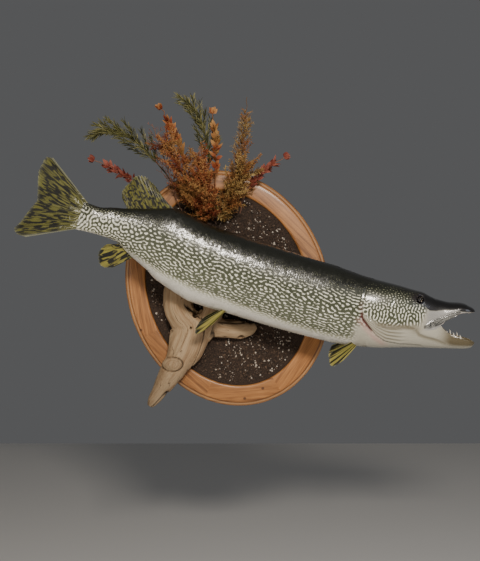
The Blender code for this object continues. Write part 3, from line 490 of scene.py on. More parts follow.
class Markings:
    """Pale marks on olive that grow as they do on a fish: near dots help, far ones hinder.

    Each round keeps the waves of the wanted spacing at each place, so that specks, dashes and
    worms run into each other without a seam.
    """

    # Distance from the jaw tip, then how high on the flank the marks end: at the white belly and
    # at the dark back. 0 is the side line, 1 the middle of the back.
    EDGES: Rows = ((0.10, -0.60, 0.62), (0.20, -0.60, 0.50), (0.26, -0.57, 0.36),
                   (0.36, -0.53, 0.31), (0.50, -0.48, 0.29), (0.62, -0.47, 0.30),
                   (0.72, -0.52, 0.34), (0.80, -0.72, 0.40), (0.89, -0.84, 0.46))

    def __init__(self, sizes: MarkingSizes, pike: Pike) -> None:
        self.sizes, self.pike = sizes, pike
        self.belly, self.back = Curve(self.EDGES, 1), Curve(self.EDGES, 2)
        self.rows = int(sizes.reach / sizes.cell)
        self.columns = int((pike.sizes.head + pike.sizes.trunk) / sizes.cell) + 8
        side = sizes.low + np.arange(self.rows) * sizes.cell
        s, arc = np.meshgrid(np.arange(self.columns) * sizes.cell,
                             np.concatenate([side, side[::-1]]), indexing="ij")
        self.values = self.grow(s, arc)

    def zone(self, s: Array, arc: Array) -> Array:
        """-1 where the white belly starts, 1 where the dark back starts."""
        level = arc / self.pike.quarter(s)
        belly, back = self.belly(s), self.back(s)
        return 2 * (level - belly) / (back - belly) - 1

    def grow(self, s: Array, arc: Array) -> Array:
        """Runs the rounds of growth and returns the field, over 0 where a mark is pale."""
        sizes, height = self.sizes, self.zone(s, arc)
        head, tail = smooth(0.275, 0.225, s), smooth(0.72, 0.82, s)
        fine, low = smooth(0.70, 1.15, height), smooth(-0.35, -0.9, height)
        body = (1 - head) * (1 - tail) * (1 - fine)
        parts = ((sizes.fine, 0.0, (1 - head) * (1 - tail) * fine),
                 (sizes.dashes, -0.19, body * (1 - low)), (sizes.low_dashes, -0.13, body * low),
                 (sizes.cheek_worms, 0.10, head * (1 - 0.6 * fine)),
                 (sizes.tail_worms, 0.0, tail * (1 - fine)),
                 (sizes.dots, 0.0, (head * 0.6 + tail) * fine))
        fx = np.fft.fftfreq(s.shape[0], sizes.cell)[:, None]
        fy = np.fft.rfftfreq(s.shape[1], sizes.cell)[None, :]
        gains = []
        for (along, around), turn, _ in parts:
            x, y = fx * along, fy * around
            r = np.hypot(x, y) + 1e-9
            gains.append(np.exp(-((r - 1) / 0.30) ** 2) * (1 + turn * (x * x - y * y) / r ** 2))
        lean = (-0.88 - 0.62 * smooth(0.6, 1.3, height) + 1.0 * smooth(-0.75, -1.2, height)
                + 0.7 * head * smooth(0.9, 0.2, height) + 0.62 * tail)
        dice = np.random.default_rng(sizes.seed)
        field = dice.standard_normal(s.shape)
        rough = np.fft.rfft2(dice.standard_normal(s.shape))
        for _ in range(5):
            waves = np.fft.rfft2(field)
            kept = np.zeros_like(field)
            for gain, (_, _, weight) in zip(gains, parts):
                wave = np.fft.irfft2(waves * gain, s=s.shape)
                grain = np.fft.irfft2(rough * gain, s=s.shape)
                kept += weight * (wave / wave.std() + 0.70 * grain / grain.std())
            field = np.tanh(1.3 * kept + 0.8 * lean)
        return (kept + lean) / 3

    def sample(self, s: Array, arc: Array, side: Array) -> Array:
        """The field at places on the skin, about -1 to 1."""
        x = (np.asarray(s) / self.sizes.cell).clip(0, self.columns - 2)
        y = ((np.asarray(arc) - self.sizes.low) / self.sizes.cell).clip(0, self.rows - 2)
        y = np.where(np.asarray(side) >= 0, y, 2 * self.rows - 1 - y)
        i, j = x.astype(int), y.astype(int).clip(0, 2 * self.rows - 2)
        u, v, f = x - i, y - j, self.values
        return ((f[i, j] * (1 - v) + f[i, j + 1] * v) * (1 - u)
                + (f[i + 1, j] * (1 - v) + f[i + 1, j + 1] * v) * u).clip(-1, 1)


# ---------------------------------------------------------------- skin
@dataclass(frozen=True)
class FaceSizes:
    """Where the head's features lie, forwards of the gill opening and over the spine."""
    gill_edge: Rows = ((0.012, 0.064), (0.004, 0.052), (0, 0.041), (-0.0015, 0.027),
                       (-0.0015, 0.006), (0.003, -0.011), (0.019, -0.028), (0.0365, -0.0435),
                       (0.056, -0.0545), (0.090, -0.0575), (0.135, -0.055))
    cheek_foot: Rows = ((0.0015, -0.001), (0.018, -0.0105), (0.036, -0.0175), (0.054, -0.0195),
                        (0.073, -0.018), (0.092, -0.0155), (0.112, -0.016))
    preopercle: Rows = ((0.070, 0.052), (0.060, 0.030), (0.055, 0.008), (0.058, -0.008),
                        (0.070, -0.017))
    jaw_crease: Rows = ((0.120, -0.022), (0.1275, -0.031), (0.1415, -0.035), (0.164, -0.038),
                        (0.187, -0.042))
    maxilla: Rows = ((0.137, -0.0125), (0.1465, -0.0075), (0.158, 0.0005), (0.1685, 0.0055),
                     (0.1815, 0.0140), (0.197, 0.0240), (0.206, 0.0290))
    maxilla_half: Rows = ((0.0, 0.0025), (0.25, 0.0070), (0.5, 0.0062), (0.8, 0.0038), (1, 0.0015))
    snout_line: Rows = ((0.130, 0.030), (0.1425, 0.0235), (0.155, 0.0245), (0.178, 0.0300),
                        (0.195, 0.0315), (0.2057, 0.0310), (0.216, 0.0312), (0.245, 0.0325))
    nostrils: Rows = ((0.1500, 0.0500), (0.1550, 0.0480))
    nose_rim: tuple = (0.1525, 0.049, 0.0034)  # round both nostrils, with its radius
    brow: tuple = (0.121, 0.0560)
    chin_pores: tuple = (0.150, 0.0165, 6)  # the first, their spacing and how many
    gill_rays: int = 5  # of the membrane under the cheek
    gill_slit: tuple = (0.30, 0.62)  # the part of the gill's edge that stands open
    socket: float = 0.0084
    lid: float = 0.0118
    mouth_land: float = 0.07  # the lips' share of a half section
    cover_lift: float = 0.0009
    cover_fade: float = 0.030
    slit_depth: tuple = (0.0005, 0.0037)  # where the gill is shut, and added where it is open
    ray_height: float = 0.0015
    maxilla_lift: float = 0.0012
    socket_depth: float = 0.0062


class Features:
    """Where vertices of the skin lie beside the features of the head."""

    def __init__(self, pike: Pike, face: FaceSizes, facts: Array) -> None:
        self.face = face
        self.s, self.up, self.side, self.inner = facts.T
        self.ahead = pike.sizes.head - self.s
        self.heights = pike.heights(self.s)
        self.gill, self.gill_share = self.beside(face.gill_edge)
        self.foot, self.foot_share = self.beside(face.cheek_foot)
        self.crease, self.crease_share = self.beside(face.jaw_crease)
        self.bone, bone_share = self.beside(face.maxilla)
        self.bone_half = Curve(face.maxilla_half)(bone_share)
        self.fan = self.gill / (np.abs(self.gill) + np.abs(self.foot) + 1e-6)
        self.eye = self.reach(*pike.sizes.eye)

    def beside(self, line: Rows) -> tuple[Array, Array]:
        """The distance from a line, and the share of it that is passed."""
        return polyline(line, self.ahead, self.up)

    def reach(self, ahead: float, up: float) -> Array:
        """The distance from a spot on the side of the head."""
        return np.hypot(self.ahead - ahead, self.up - up)

    def on_lip(self, end: float) -> Array:
        """Whether it is on the upper lip, where the jaw bone lies, up to that end of it."""
        return (self.ahead > 0.125) & (self.ahead < end) & (self.up > self.heights[1] - 0.006)

    def open_gill(self, fade: tuple[float, float]) -> Array:
        """How far the gill stands open along its edge, over a fade at both ends."""
        first, last = self.face.gill_slit
        return (smooth(first, first + fade[0], self.gill_share)
                * smooth(last + fade[1], last, self.gill_share))

    def relief(self, curves: dict[str, Curve]) -> Array:
        """How far each vertex is raised by gill covers, lips, lids and pits."""
        face, ahead, up, gill, foot = self.face, self.ahead, self.up, self.gill, self.foot
        near = (ahead > -0.05).astype(float) * (up < 0.0645)
        covered = smooth(0, 0.0030, gill) * np.exp(-np.maximum(gill, 0) / face.cover_fade)
        lift = face.cover_lift * covered * near * smooth(0.10, 0.32, self.gill_share)
        shut, opened = face.slit_depth
        lift -= near * bump(gill + 0.0012, 0.0020) * (
            shut + opened * self.open_gill((0.06, 0.08)))
        share = self.foot_share
        rays = np.sin(np.pi * face.gill_rays * self.fan) ** 2 * ((gill > 0) & (foot < 0))
        fade = smooth(0, 0.08, share) * smooth(1.0, 0.72, share) * smooth(0, 0.004, np.abs(foot))
        lift += face.ray_height * rays * fade * near
        lift -= 0.0007 * bump(foot, 0.0016) * smooth(0, 0.1, share) * smooth(1, 0.8, share) * near
        lift -= 0.0006 * bump(self.beside(face.preopercle)[0], 0.0016) * near
        lift -= 0.0015 * bump(self.crease, 0.0030) * smooth(1.0, 0.7, self.crease_share)
        bone, half, on_lip = np.abs(self.bone), self.bone_half, self.on_lip(0.214)
        lift += on_lip * face.maxilla_lift * smooth(half + 0.0006, half - 0.0010, bone)
        lift -= on_lip * 0.0008 * bump(bone - half - 0.0012, 0.0012)
        lift -= face.socket_depth * smooth(face.socket, face.socket - 0.0018, self.eye)
        lift += 0.0006 * bump(self.eye - face.socket - 0.0010, 0.0012)
        lift += 0.0012 * bump(ahead - face.brow[0], 0.016) * bump(up - face.brow[1], 0.0030)
        for spot in face.nostrils:
            lift -= 0.0016 * bump(self.reach(*spot), 0.0013)
        lift += 0.0006 * bump(self.reach(*face.nose_rim[:2]) - face.nose_rim[2], 0.0012)
        first, spacing, count = face.chin_pores
        for x in (first + spacing * k for k in range(count)):
            y = 0.72 * curves["chin"](x) + 0.28 * curves["lower_lip"](x)
            lift -= 0.0007 * bump(self.reach(x, y), 0.0011)
        return lift * (1 - self.inner)

    def pale(self) -> Array:
        """The plain pale skin under the cheek, before the mouth and on the breast."""
        ahead, up, gill = self.ahead, self.up, self.gill
        under = np.maximum(self.under_cheek(), smooth(0.124, 0.140, ahead - 0.35 * (up - 0.01)))
        breast = (smooth(-0.0005, -0.002, gill) * smooth(-0.022, -0.034, up)
                  * smooth(-0.02, 0.0, ahead))
        return np.maximum(under * smooth(0.085, 0.02, -ahead), breast)

    def under_cheek(self) -> Array:
        """The gill membrane and the throat."""
        membrane = smooth(0.005, -0.005, self.foot) * smooth(-0.001, 0.001, self.gill)
        return np.maximum(membrane, smooth(-0.006, -0.016, self.up) * smooth(
            0.095, 0.11, self.ahead))

    def tan(self, curves: dict[str, Curve]) -> Array:
        """Browner skin on the lower jaw, and painted shade in the head's folds and creases."""
        ahead, up, foot = self.ahead, self.up, self.foot
        chin, lip = curves["chin"](ahead), curves["lower_lip"](ahead)
        depth = ((up - chin) / (lip - chin + 1e-6)).clip(0, 1)
        lower = (up < self.heights[2] + 0.001) * (ahead > 0.13)
        furrows = (np.cos(np.pi * self.face.gill_rays * self.fan) ** 4 * self.under_cheek()
                   * smooth(1.0, 0.75, self.foot_share))
        # Painted shade in the gill rays' folds, under the cheek, at the gill cover's edge and in
        # the jaw's crease.
        return np.maximum.reduce((
            lower * smooth(0.160, 0.200, ahead) * smooth(0.12, 0.55, depth),
            0.90 * furrows * smooth(0.115, 0.06, ahead),
            0.80 * bump(foot + 0.002, 0.0055) * smooth(0.012, 0.05, ahead)
            * smooth(0.135, 0.115, ahead),
            0.50 * bump(self.gill - 0.001, 0.0022) * smooth(0.040, 0.060, ahead),
            0.70 * bump(self.crease, 0.0042) * (ahead > 0.112),
            0.55 * bump(ahead - 0.118, 0.012) * bump(up + 0.020, 0.010)))

    def colours(self, curves: dict[str, Curve]) -> tuple[list, list, list]:
        """How much of each plain colour covers the marks: (pale, snout), face and flesh."""
        face, ahead, up = self.face, self.ahead, self.up
        snout = self.beside(face.snout_line)[0]
        dark = smooth(-0.0008, 0.0012, snout) * smooth(0.118, 0.136, ahead)
        white = smooth(0.004, -0.003, snout) * smooth(0.130, 0.146, ahead) * (
            up > self.heights[1] - 0.004)
        band = bump(up - 0.046 - 0.05 * (ahead - 0.119), 0.0105) * smooth(0.088, 0.110, ahead)
        # Painted shade in and round the eye's socket, added to the dark band through the eye.
        band = np.maximum(band, smooth(face.lid, 0.0090, self.eye))
        bone, half, on_lip = np.abs(self.bone), self.bone_half, self.on_lip(0.216)
        maxilla = on_lip * smooth(half + 0.0002, half - 0.0008, bone)
        rim = on_lip * bump(bone - half + 0.0003, 0.0009)
        # The open gill slit: the gills' red, darkened as painted shade in the opening.
        slit = self.open_gill((0.05, 0.06)) * bump(self.gill + 0.0016, 0.0024)
        blush = 0.55 * bump(self.gill + 0.007, 0.006) * smooth(-0.006, -0.020, up) * smooth(
            0.075, 0.045, ahead)
        return ([self.pale(), dark], [maxilla, rim, self.tan(curves), slit],
                [self.inner, blush, band, white])


class Skin:
    """One skin from the tail's root to both jaw tips and back into the mouth."""

    COLUMNS = 120  # faces over half a section
    TRUNK_ROWS, HEAD_ROWS, JAW_ROWS, MOUTH_ROWS = 112, 128, 58, 14
    INSET = 0.0004  # how far it lies inside the solids, for the scales
    UPPER_TIP, LOWER_TIP = 0.242, 0.2517  # how far the jaws reach, forwards of the gill opening
    FULL = 0.62  # the most of a jaw's height that the mouth hollows out
    WEDGE = 0.022  # the length over which the body thins into the tail fin
    NODES = ("trunk_front", "trunk_middle", "trunk_rear", "tail_stem", "head", "upper_jaw",
             "lower_jaw", "gill_cover_right", "gill_cover_left", "maxilla_right", "maxilla_left")

    def __init__(self, pike: Pike, marks: Markings, face: FaceSizes) -> None:
        self.pike, self.marks, self.face = pike, marks, face
        self.points, self.facts, self.faces = [], [], []
        self.count = 0

    def add_points(self, s: Array, up: Array, side: Array, inner: float) -> Array:
        """Places a table of points and returns their numbers."""
        s, up, side, inner = np.broadcast_arrays(s, up, side, inner)
        self.points.append(self.pike.place(s, up, side).reshape(-1, 3))
        self.facts.append(np.stack([s, up, side, inner], -1).reshape(-1, 4))
        numbers = np.arange(self.count, self.count + s.size).reshape(s.shape)
        self.count += s.size
        return numbers

    def halves(self, s: Array, over: bool) -> tuple[Array, ...]:
        """The side line or lip, the outer edge, half the width and how boxy the section is."""
        k = 0 if over else 1
        top, upper, lower, bottom = (h[:, None] for h in self.pike.heights(s))
        return (*((upper, top) if over else (lower, bottom)),
                self.pike.half_widths(s)[k][:, None], self.pike.squareness(s)[k][:, None])

    def outer_half(self, s: Array, over: bool) -> tuple[Array, Array]:
        """(up, side) of the outside over or under the side line, from right to left."""
        turn = np.linspace(0, math.pi, self.COLUMNS + 1)[None, :]
        foot, tip, wide, square = self.halves(s, over)
        end = self.pike.sizes.head + self.pike.sizes.trunk
        wide = (wide - self.INSET) * (1 - 0.72 * smooth(end - self.WEDGE, end, s))[:, None]
        return self.pike.arc(turn, foot, tip - (self.INSET if over else -self.INSET), wide, square)

    def shut_half(self, s: Array, over: bool) -> tuple[Array, Array]:
        """(up, side) of the mouth's lining behind its corner, over or under its middle."""
        sizes, ahead = self.pike.sizes, (self.pike.sizes.head - s)[:, None]
        t = np.linspace(0, 1, self.COLUMNS + 1)[None, :]
        roof, floor = self.pike.curves["palate"](ahead), self.pike.curves["floor"](ahead)
        shrink = 0.80 + 0.20 * smooth(sizes.throat, sizes.corner, ahead)
        half = (self.halves(s, over)[2] - 1.3 * sizes.lip) * shrink
        return self.pike.arc(t * math.pi, (roof + floor) / 2, roof if over else floor, half, 2.0)

    def open_half(self, s: Array, over: bool) -> tuple[Array, Array]:
        """(up, side) of a jaw's lining, across both its lips."""
        lip, outer, half, _ = self.halves(s, over)
        hollow = self.pike.curves["palate" if over else "floor"](
            (self.pike.sizes.head - s)[:, None])
        t = np.linspace(0, 1, self.COLUMNS + 1)[None, :]
        way, land = np.sign(outer - lip), self.face.mouth_land
        reach = np.minimum(np.abs(hollow - lip), self.FULL * np.abs(outer - lip))
        inside = np.maximum(half - self.pike.sizes.lip, 0.45 * half)
        turn = ((t - land) / (1 - 2 * land)).clip(0, 1) * math.pi
        up, side = self.pike.arc(turn, lip, lip + way * reach, inside, 2.0)
        across = np.minimum(t, 1 - t) / land
        rolled = lip - way * 0.0009 * np.sin(np.pi * across.clip(0, 1))
        edge = np.sign(0.5 - t) * (half + (inside - half) * across)
        return np.where(across < 1, rolled, up), np.where(across < 1, edge, side)

    def lay_jaw(self, corner: Array, tip: float, over: bool) -> Array:
        """Builds one jaw forwards of the mouth's corner.

        Args:
            corner: vertex numbers of the outside at the corner, from right to left.
            tip: how far forwards of the gill opening the jaw ends.
            over: whether it is the upper jaw.

        Returns:
            The vertex numbers of its lining at the corner.
        """
        sizes = self.pike.sizes
        t = np.linspace(0, 1, self.JAW_ROWS + 1)
        s = sizes.head - (sizes.corner + (tip - sizes.corner) * (1 - (1 - t) ** 1.35))
        outer = np.vstack([corner, self.add_points(s[1:, None], *self.outer_half(s[1:], over), 0)])
        up, side = self.open_half(s, over)
        lining = self.add_points(s[:, None], up[:, 1:-1], side[:, 1:-1], 1)
        lining = np.hstack([outer[:, :1], lining, outer[:, -1:]])
        self.faces += grid_faces(outer) + grid_faces(lining) + zip_faces(outer[-1], lining[-1])
        return lining[0]

    def build(self) -> None:
        """Lays out the whole skin before its features are raised."""
        sizes, half = self.pike.sizes, self.COLUMNS
        t = np.linspace(0, 1, self.TRUNK_ROWS + 1)[:-1]
        ahead = np.linspace(0, sizes.corner, self.HEAD_ROWS + 1)
        s = np.concatenate([sizes.head + sizes.trunk * (1 - t), sizes.head - ahead])
        up, side = (np.hstack([over, under[:, -2:0:-1]]) for over, under in zip(
            self.outer_half(s, True), self.outer_half(s, False)))
        ring = self.add_points(s[:, None], up, side, 0)
        self.ring, self.ring_s = ring, s
        self.faces += grid_faces(np.hstack([ring, ring[:, :1]]))
        below = np.hstack([ring[:, :1], ring[:, :half - 1:-1]])
        self.faces += zip_faces(ring[0, :half + 1], below[0])
        palate = self.lay_jaw(ring[-1, :half + 1], self.UPPER_TIP, True)
        floor = self.lay_jaw(below[-1], self.LOWER_TIP, False)
        back = sizes.head - np.linspace(sizes.corner, sizes.throat, self.MOUTH_ROWS + 1)[1:]
        roof_rows = self.add_points(back[:, None], *self.shut_half(back, True), 1)
        up, side = self.shut_half(back, False)
        floor_rows = self.add_points(back[:, None], up[:, 1:-1], side[:, 1:-1], 1)
        floor_rows = np.hstack([roof_rows[:, :1], floor_rows, roof_rows[:, -1:]])
        self.faces += grid_faces(np.vstack([palate, roof_rows]))
        self.faces += grid_faces(np.vstack([floor, floor_rows]))
        self.faces += zip_faces(roof_rows[-1], floor_rows[-1])
        self.points, self.facts = np.concatenate(self.points), np.concatenate(self.facts)

    def arcs(self) -> Array:
        """The distance of each outer vertex from the side line, round the body."""
        s, up, _, _ = self.facts.T
        top, upper, lower, bottom = self.pike.heights(s)
        above = up >= (upper + lower) / 2
        reach = np.where(above, top - upper, bottom - lower)
        foot = np.where(above, upper, lower)
        share = ((up - foot) / np.where(np.abs(reach) < 1e-6, 1e-6, reach)).clip(0, 1)
        turn = np.arcsin(share ** (np.where(above, *self.pike.squareness(s)) / 2))
        return np.sign(reach) * turn * ((self.pike.half_widths(s)[0] + np.abs(reach)) / 2)

    def mark(self, s: Array, arc: Array, side: Array) -> Array:
        """How pale the marks are, narrower than the olive between them, most on the head."""
        thin = 0.05 + 0.13 * smooth(-0.01, 0.03, self.pike.sizes.head - s)
        return 0.5 + (self.marks.sample(s, arc, side) - thin) / 2

    def finish(self, material: bpy.types.Material) -> bpy.types.Object:
        """Raises the features, makes the object and stores what its material reads."""
        rough = bpy.data.meshes.new("skin_rough")
        rough.from_pydata(self.points.tolist(), [], self.faces)
        face_out(rough)
        out = np.zeros(len(self.points) * 3)
        rough.vertex_normals.foreach_get("vector", out)
        self.out = out.reshape(-1, 3)
        features, curves = Features(self.pike, self.face, self.facts), self.pike.curves
        self.points = self.points + self.out * features.relief(curves)[:, None]
        self.arc = self.arcs()
        plain, face, flesh = features.colours(curves)
        zone = self.marks.zone(features.s, self.arc).clip(-3, 3)
        marks = [self.mark(features.s, self.arc, features.side), 0.5 + zone / 6, *plain]
        self.values = {name: np.stack(values, -1) for name, values in (
            ("Marks", marks), ("Face", face), ("Flesh", flesh))}
        piece = add_piece("pike_skin", self.points, [list(p.vertices) for p in rough.polygons],
                          material, tidy=False, sharp=60, replaces=self.NODES)
        for name, values in self.values.items():
            add_values(piece, name, values)
        return piece


# ---------------------------------------------------------------- scales
@dataclass(frozen=True)
class ScaleSizes:
    """The scales of a pike, in metres."""
    pitch: float = 0.0052
    rows: int = 72  # round the whole body
    length: float = 1.5  # of the pitch, as each lies under the next
    width: float = 1.16
    thick: float = 0.00042
    tilt: float = 0.00021
    bake_patch: float = 0.003
    # One scale: at each of its rows, how far back it is, half its width and how high it lies.
    shape: Rows = ((0.0, 0.62, -0.4), (0.36, 0.98, 0.45), (0.72, 0.94, 0.85), (1.0, 0.60, 1.0),
                   (1.0, 0.58, -0.3))
    stops: tuple = (-1.0, -0.36, 0.36, 1.0)
    first: float = 0.022  # forwards of the gill opening, and the last one's gap to the tail fin
    last: float = 0.003


class ScaleCoat:
    """Thin overlapping scales on one flank, which bear the skin's own markings."""

    def __init__(self, skin: Skin, sizes: ScaleSizes, side: int) -> None:
        self.skin, self.sizes, self.side = skin, sizes, side
        self.end = skin.pike.sizes.head + skin.pike.sizes.trunk
        self.step = 2 * skin.COLUMNS / sizes.rows

    def girth(self, s: Array | float) -> Array:
        """How big the scales are, which grow with the body."""
        quarter = self.skin.pike.quarter
        return 0.5 + 0.5 * quarter(np.asarray(s)) / quarter(np.array(0.45))

    def roots(self) -> tuple[Array, Array]:
        """Where scales grow, as distance from the jaw tip and columns from the side line."""
        skin, sizes = self.skin, self.sizes
        head, half = skin.pike.sizes.head, skin.COLUMNS / 2
        stops, s = [], head - sizes.first
        while s < self.end - sizes.last:
            stops.append(s)
            s += sizes.pitch * float(self.girth(s))
        s, c = np.meshgrid(stops, np.arange(-half + self.step / 2, half, self.step),
                           indexing="ij")
        c = c + np.where(np.arange(len(stops)) % 2, self.step / 4, -self.step / 4)[:, None]
        s, c = s.ravel(), c.ravel()
        gill, _ = polyline(skin.face.gill_edge, head - s, self.read(skin.facts, s, c)[:, 1])
        keep = (s > head + 0.012) | (gill < -0.0035)
        return s[keep], c[keep]

    def read(self, table: Array, s: Array, c: Array) -> Array:
        """Reads values of the skin between its own rows and columns.

        Args:
            table: the values at its vertices.
            s: distances from the jaw tip.
            c: columns from the side line.

        Returns:
            The values there.
        """
        skin = self.skin
        ring, whole = skin.ring, 2 * skin.COLUMNS
        x = np.interp(s, skin.ring_s[::-1], np.arange(len(skin.ring_s))[::-1])
        y = (c if self.side > 0 else skin.COLUMNS - c) % whole
        i = x.astype(int).clip(0, len(skin.ring_s) - 2)
        j = y.astype(int) % whole
        k = (j + 1) % whole
        u, v = (x - i)[..., None], (y - np.floor(y))[..., None]
        return ((table[ring[i, j]] * (1 - v) + table[ring[i, k]] * v) * (1 - u)
                + (table[ring[i + 1, j]] * (1 - v) + table[ring[i + 1, k]] * v) * u)

    def build(self, material: bpy.types.Material) -> None:
        """Lays every scale of the flank and joins them in one piece."""
        sizes, skin = self.sizes, self.skin
        root_s, root_c = self.roots()
        across = np.tile(sizes.stops, len(sizes.shape))
        along, wide, lift = np.repeat(np.array(sizes.shape), len(sizes.stops), axis=0).T
        lift = lift + 0.15 * (1 - across ** 2)
        along = along - 0.16 * across ** 2 * (along > 0.5)
        reach = sizes.pitch * sizes.length * self.girth(root_s)
        s = (root_s[:, None] + reach[:, None] * (along - 0.35)).clip(None, self.end - 0.0005)
        c = root_c[:, None] + across * wide * self.step * sizes.width / 2
        dice = np.random.default_rng(11 + self.side)
        lean = dice.normal(0, sizes.tilt, (len(root_s), 1)) * across * 0.6
        lean = lean + np.abs(dice.normal(0, sizes.tilt, (len(root_s), 1))) * along
        thin = smooth(0.894, 0.80, root_s)[:, None] * 0.4 + 0.6
        rise = (lift * sizes.thick * thin + np.where(lift > 0.3, lean * thin, 0))[..., None]
        places = self.read(skin.points, s, c) + unit(self.read(skin.out, s, c)) * rise
        faces = grid_faces(np.arange(across.size).reshape(-1, len(sizes.stops)))
        points, faces = join_copies(faces, places)
        piece = add_piece(f"scales_{SIDES[self.side]}", points,
                          [face[::self.side] for face in faces], material, tidy=False,
                          sharp=75)
        share = (root_s - 0.20) / 0.70
        around = root_c / skin.COLUMNS + 0.5
        u = 0.02 + 0.95 * share[:, None] + (along - 0.5) * sizes.bake_patch
        v = 0.03 + 0.94 * around[:, None] + across * sizes.bake_patch / 2
        s, c = s.ravel(), c.ravel()
        values = {name: self.read(table, s, c) for name, table in skin.values.items()}
        values["Marks"][:, 0] = skin.mark(s, self.read(skin.arc[:, None], s, c)[:, 0],
                                          self.read(skin.facts, s, c)[:, 2])
        for name, table in values.items():
            add_values(piece, name, table)
        add_map(piece, "OFBake", np.stack([u, v], -1))


@dataclass(frozen=True)
class SkinFinish:
    """Airbrushed and varnished fish skin: satin paint under a thick, slightly uneven gloss."""
    name: str = "airbrushed_varnished_skin"
    belly: str = "#E6E2D6"
    low: str = "#B3B197"
    flank: str = "#5A5E44"
    high: str = "#454936"
    back: str = "#1D1E18"
    mark: str = "#F0EEDC"
    high_mark: str = "#8E8F74"
    pale: str = "#BDB8A6"
    # tan is brown skin together with painted shade in the head's folds and creases.
    tan: str = "#625639"
    snout: str = "#141313"
    # band is a dark band through the eye together with painted shade round its socket.
    band: str = "#221C1E"
    bone: str = "#8F8E88"
    bone_mark: str = "#2E2F2C"
    blush: str = "#C99A90"
    # The gills' red in the open slit, darkened as painted shade.
    gill: str = "#5A1A18"
    white: str = "#A19F9A"
    lining: str = "#D8C0B4"

    def material(self) -> bpy.types.Material:
        """Builds the paint from the numbers stored on the skin and the scales."""
        paint = Paint(self.name, {
            "Roughness": 0.34, "IOR": 1.5, "Coat Weight": 0.85, "Coat Roughness": 0.09,
            "Coat IOR": 1.5, "Subsurface Weight": 0.0})
        mark, zone, pale, snout = paint.stored("Marks")
        # The tan, band and gill masks also carry painted shade: in the folds, round the eye and in
        # the gill slit.
        maxilla, rim, tan, gill = paint.stored("Face")
        inner, blush, band, white = paint.stored("Flesh")
        where = paint.add("TexCoord", out="Object")
        fleck = paint.add("TexNoise", {"Vector": where, "Scale": 420.0, "Detail": 2.0})
        cloud = paint.add("TexNoise", {"Vector": where, "Scale": 34.0, "Detail": 3.0})
        ground = paint.add("ValToRGB", {0: zone}, stops=(
            (0.30, self.belly), (0.340, self.low), (0.372, self.flank), (0.60, self.high),
            (0.70, self.back)))
        tint = paint.add("ValToRGB", {0: zone}, stops=(
            (0.30, self.belly), (0.40, self.mark), (0.60, self.mark), (0.685, self.high_mark),
            (0.76, self.back)))
        edge = paint.add("MapRange", {0: mark, 1: 0.488, 2: 0.522},
                         interpolation_type="SMOOTHSTEP")
        shade = paint.add("MapRange", {0: cloud, 3: 0.86, 4: 1.12})
        sand = paint.add("MapRange", {0: fleck, 1: 0.3, 2: 0.7, 3: 0.9, 4: 1.1})
        uneven = paint.add("Math", {0: shade, 1: sand}, operation="MULTIPLY")
        colour = paint.add("Mix", {0: edge, 6: ground, 7: tint}, data_type="RGBA")
        colour = paint.add("Mix", {0: 1.0, 6: colour, 7: uneven}, data_type="RGBA",
                           blend_type="MULTIPLY")
        # Worm marks on the jaw bone, 3 mm apart: where a noise crosses its middle.
        mottle = paint.add("TexNoise", {"Vector": where, "Scale": 270.0, "Detail": 0.0})
        speck = paint.add("MapRange", {0: paint.winding(mottle), 1: 0.055, 2: 0.105})
        bone = paint.add("Mix", {0: speck, 6: self.bone_mark, 7: self.bone}, data_type="RGBA")
        bone = paint.add("Mix", {0: rim, 6: bone, 7: self.bone_mark}, data_type="RGBA")
        rough = paint.add("MapRange", {0: cloud, 3: 0.26, 4: 0.42})
        paint.tree.links.new(rough, paint.shader["Roughness"])
        return paint.finish(colour, (
            (pale, self.pale), (white, self.white), (inner, self.lining), (tan, self.tan),
            (band, self.band), (blush, self.blush), (snout, self.snout), (maxilla, bone),
            (rim, self.bone_mark), (gill, self.gill)),
            (fleck, 0.30, 0.0006), ("Normal", "Coat Normal"))


# ---------------------------------------------------------------- eyes and mouth
@dataclass(frozen=True)
class EyeFinish:
    """A taxidermy eye: an iris painted on the back of clear cast glass, which looks deep."""
    pupil: str = "#050506"
    ring: str = "#584420"
    iris: str = "#1F1819"
    edge: str = "#120D0D"

    def materials(self) -> tuple[bpy.types.Material, bpy.types.Material]:
        """The painted ball, coloured by distance from its axis, and the clear glass."""
        paint = Paint("painted_iris", {
            "Roughness": 0.45, "IOR": 1.4, "Coat Weight": 0.2, "Coat Roughness": 0.1})
        reach = paint.add("Attribute", attribute_name="Reach", out="Fac")
        where = paint.add("TexCoord", out="Object")
        flecks = paint.add("TexNoise", {"Vector": where, "Scale": 1500.0, "Detail": 3.0})
        nudge = paint.add("MapRange", {0: flecks, 3: -0.05, 4: 0.05})
        place = paint.add("Math", {0: reach, 1: nudge}, operation="ADD")
        colour = paint.add("ValToRGB", {0: place}, stops=(
            (0.46, self.pupil), (0.49, self.ring), (0.53, self.ring), (0.60, self.iris),
            (0.84, self.iris), (0.95, self.edge)))
        glass = Paint("cast_clear_glass", {"Base Color": (1, 1, 1, 1), "Roughness": 0.06,
                                           "IOR": 1.4, "Transmission Weight": 1.0})
        return paint.finish(colour), glass.made


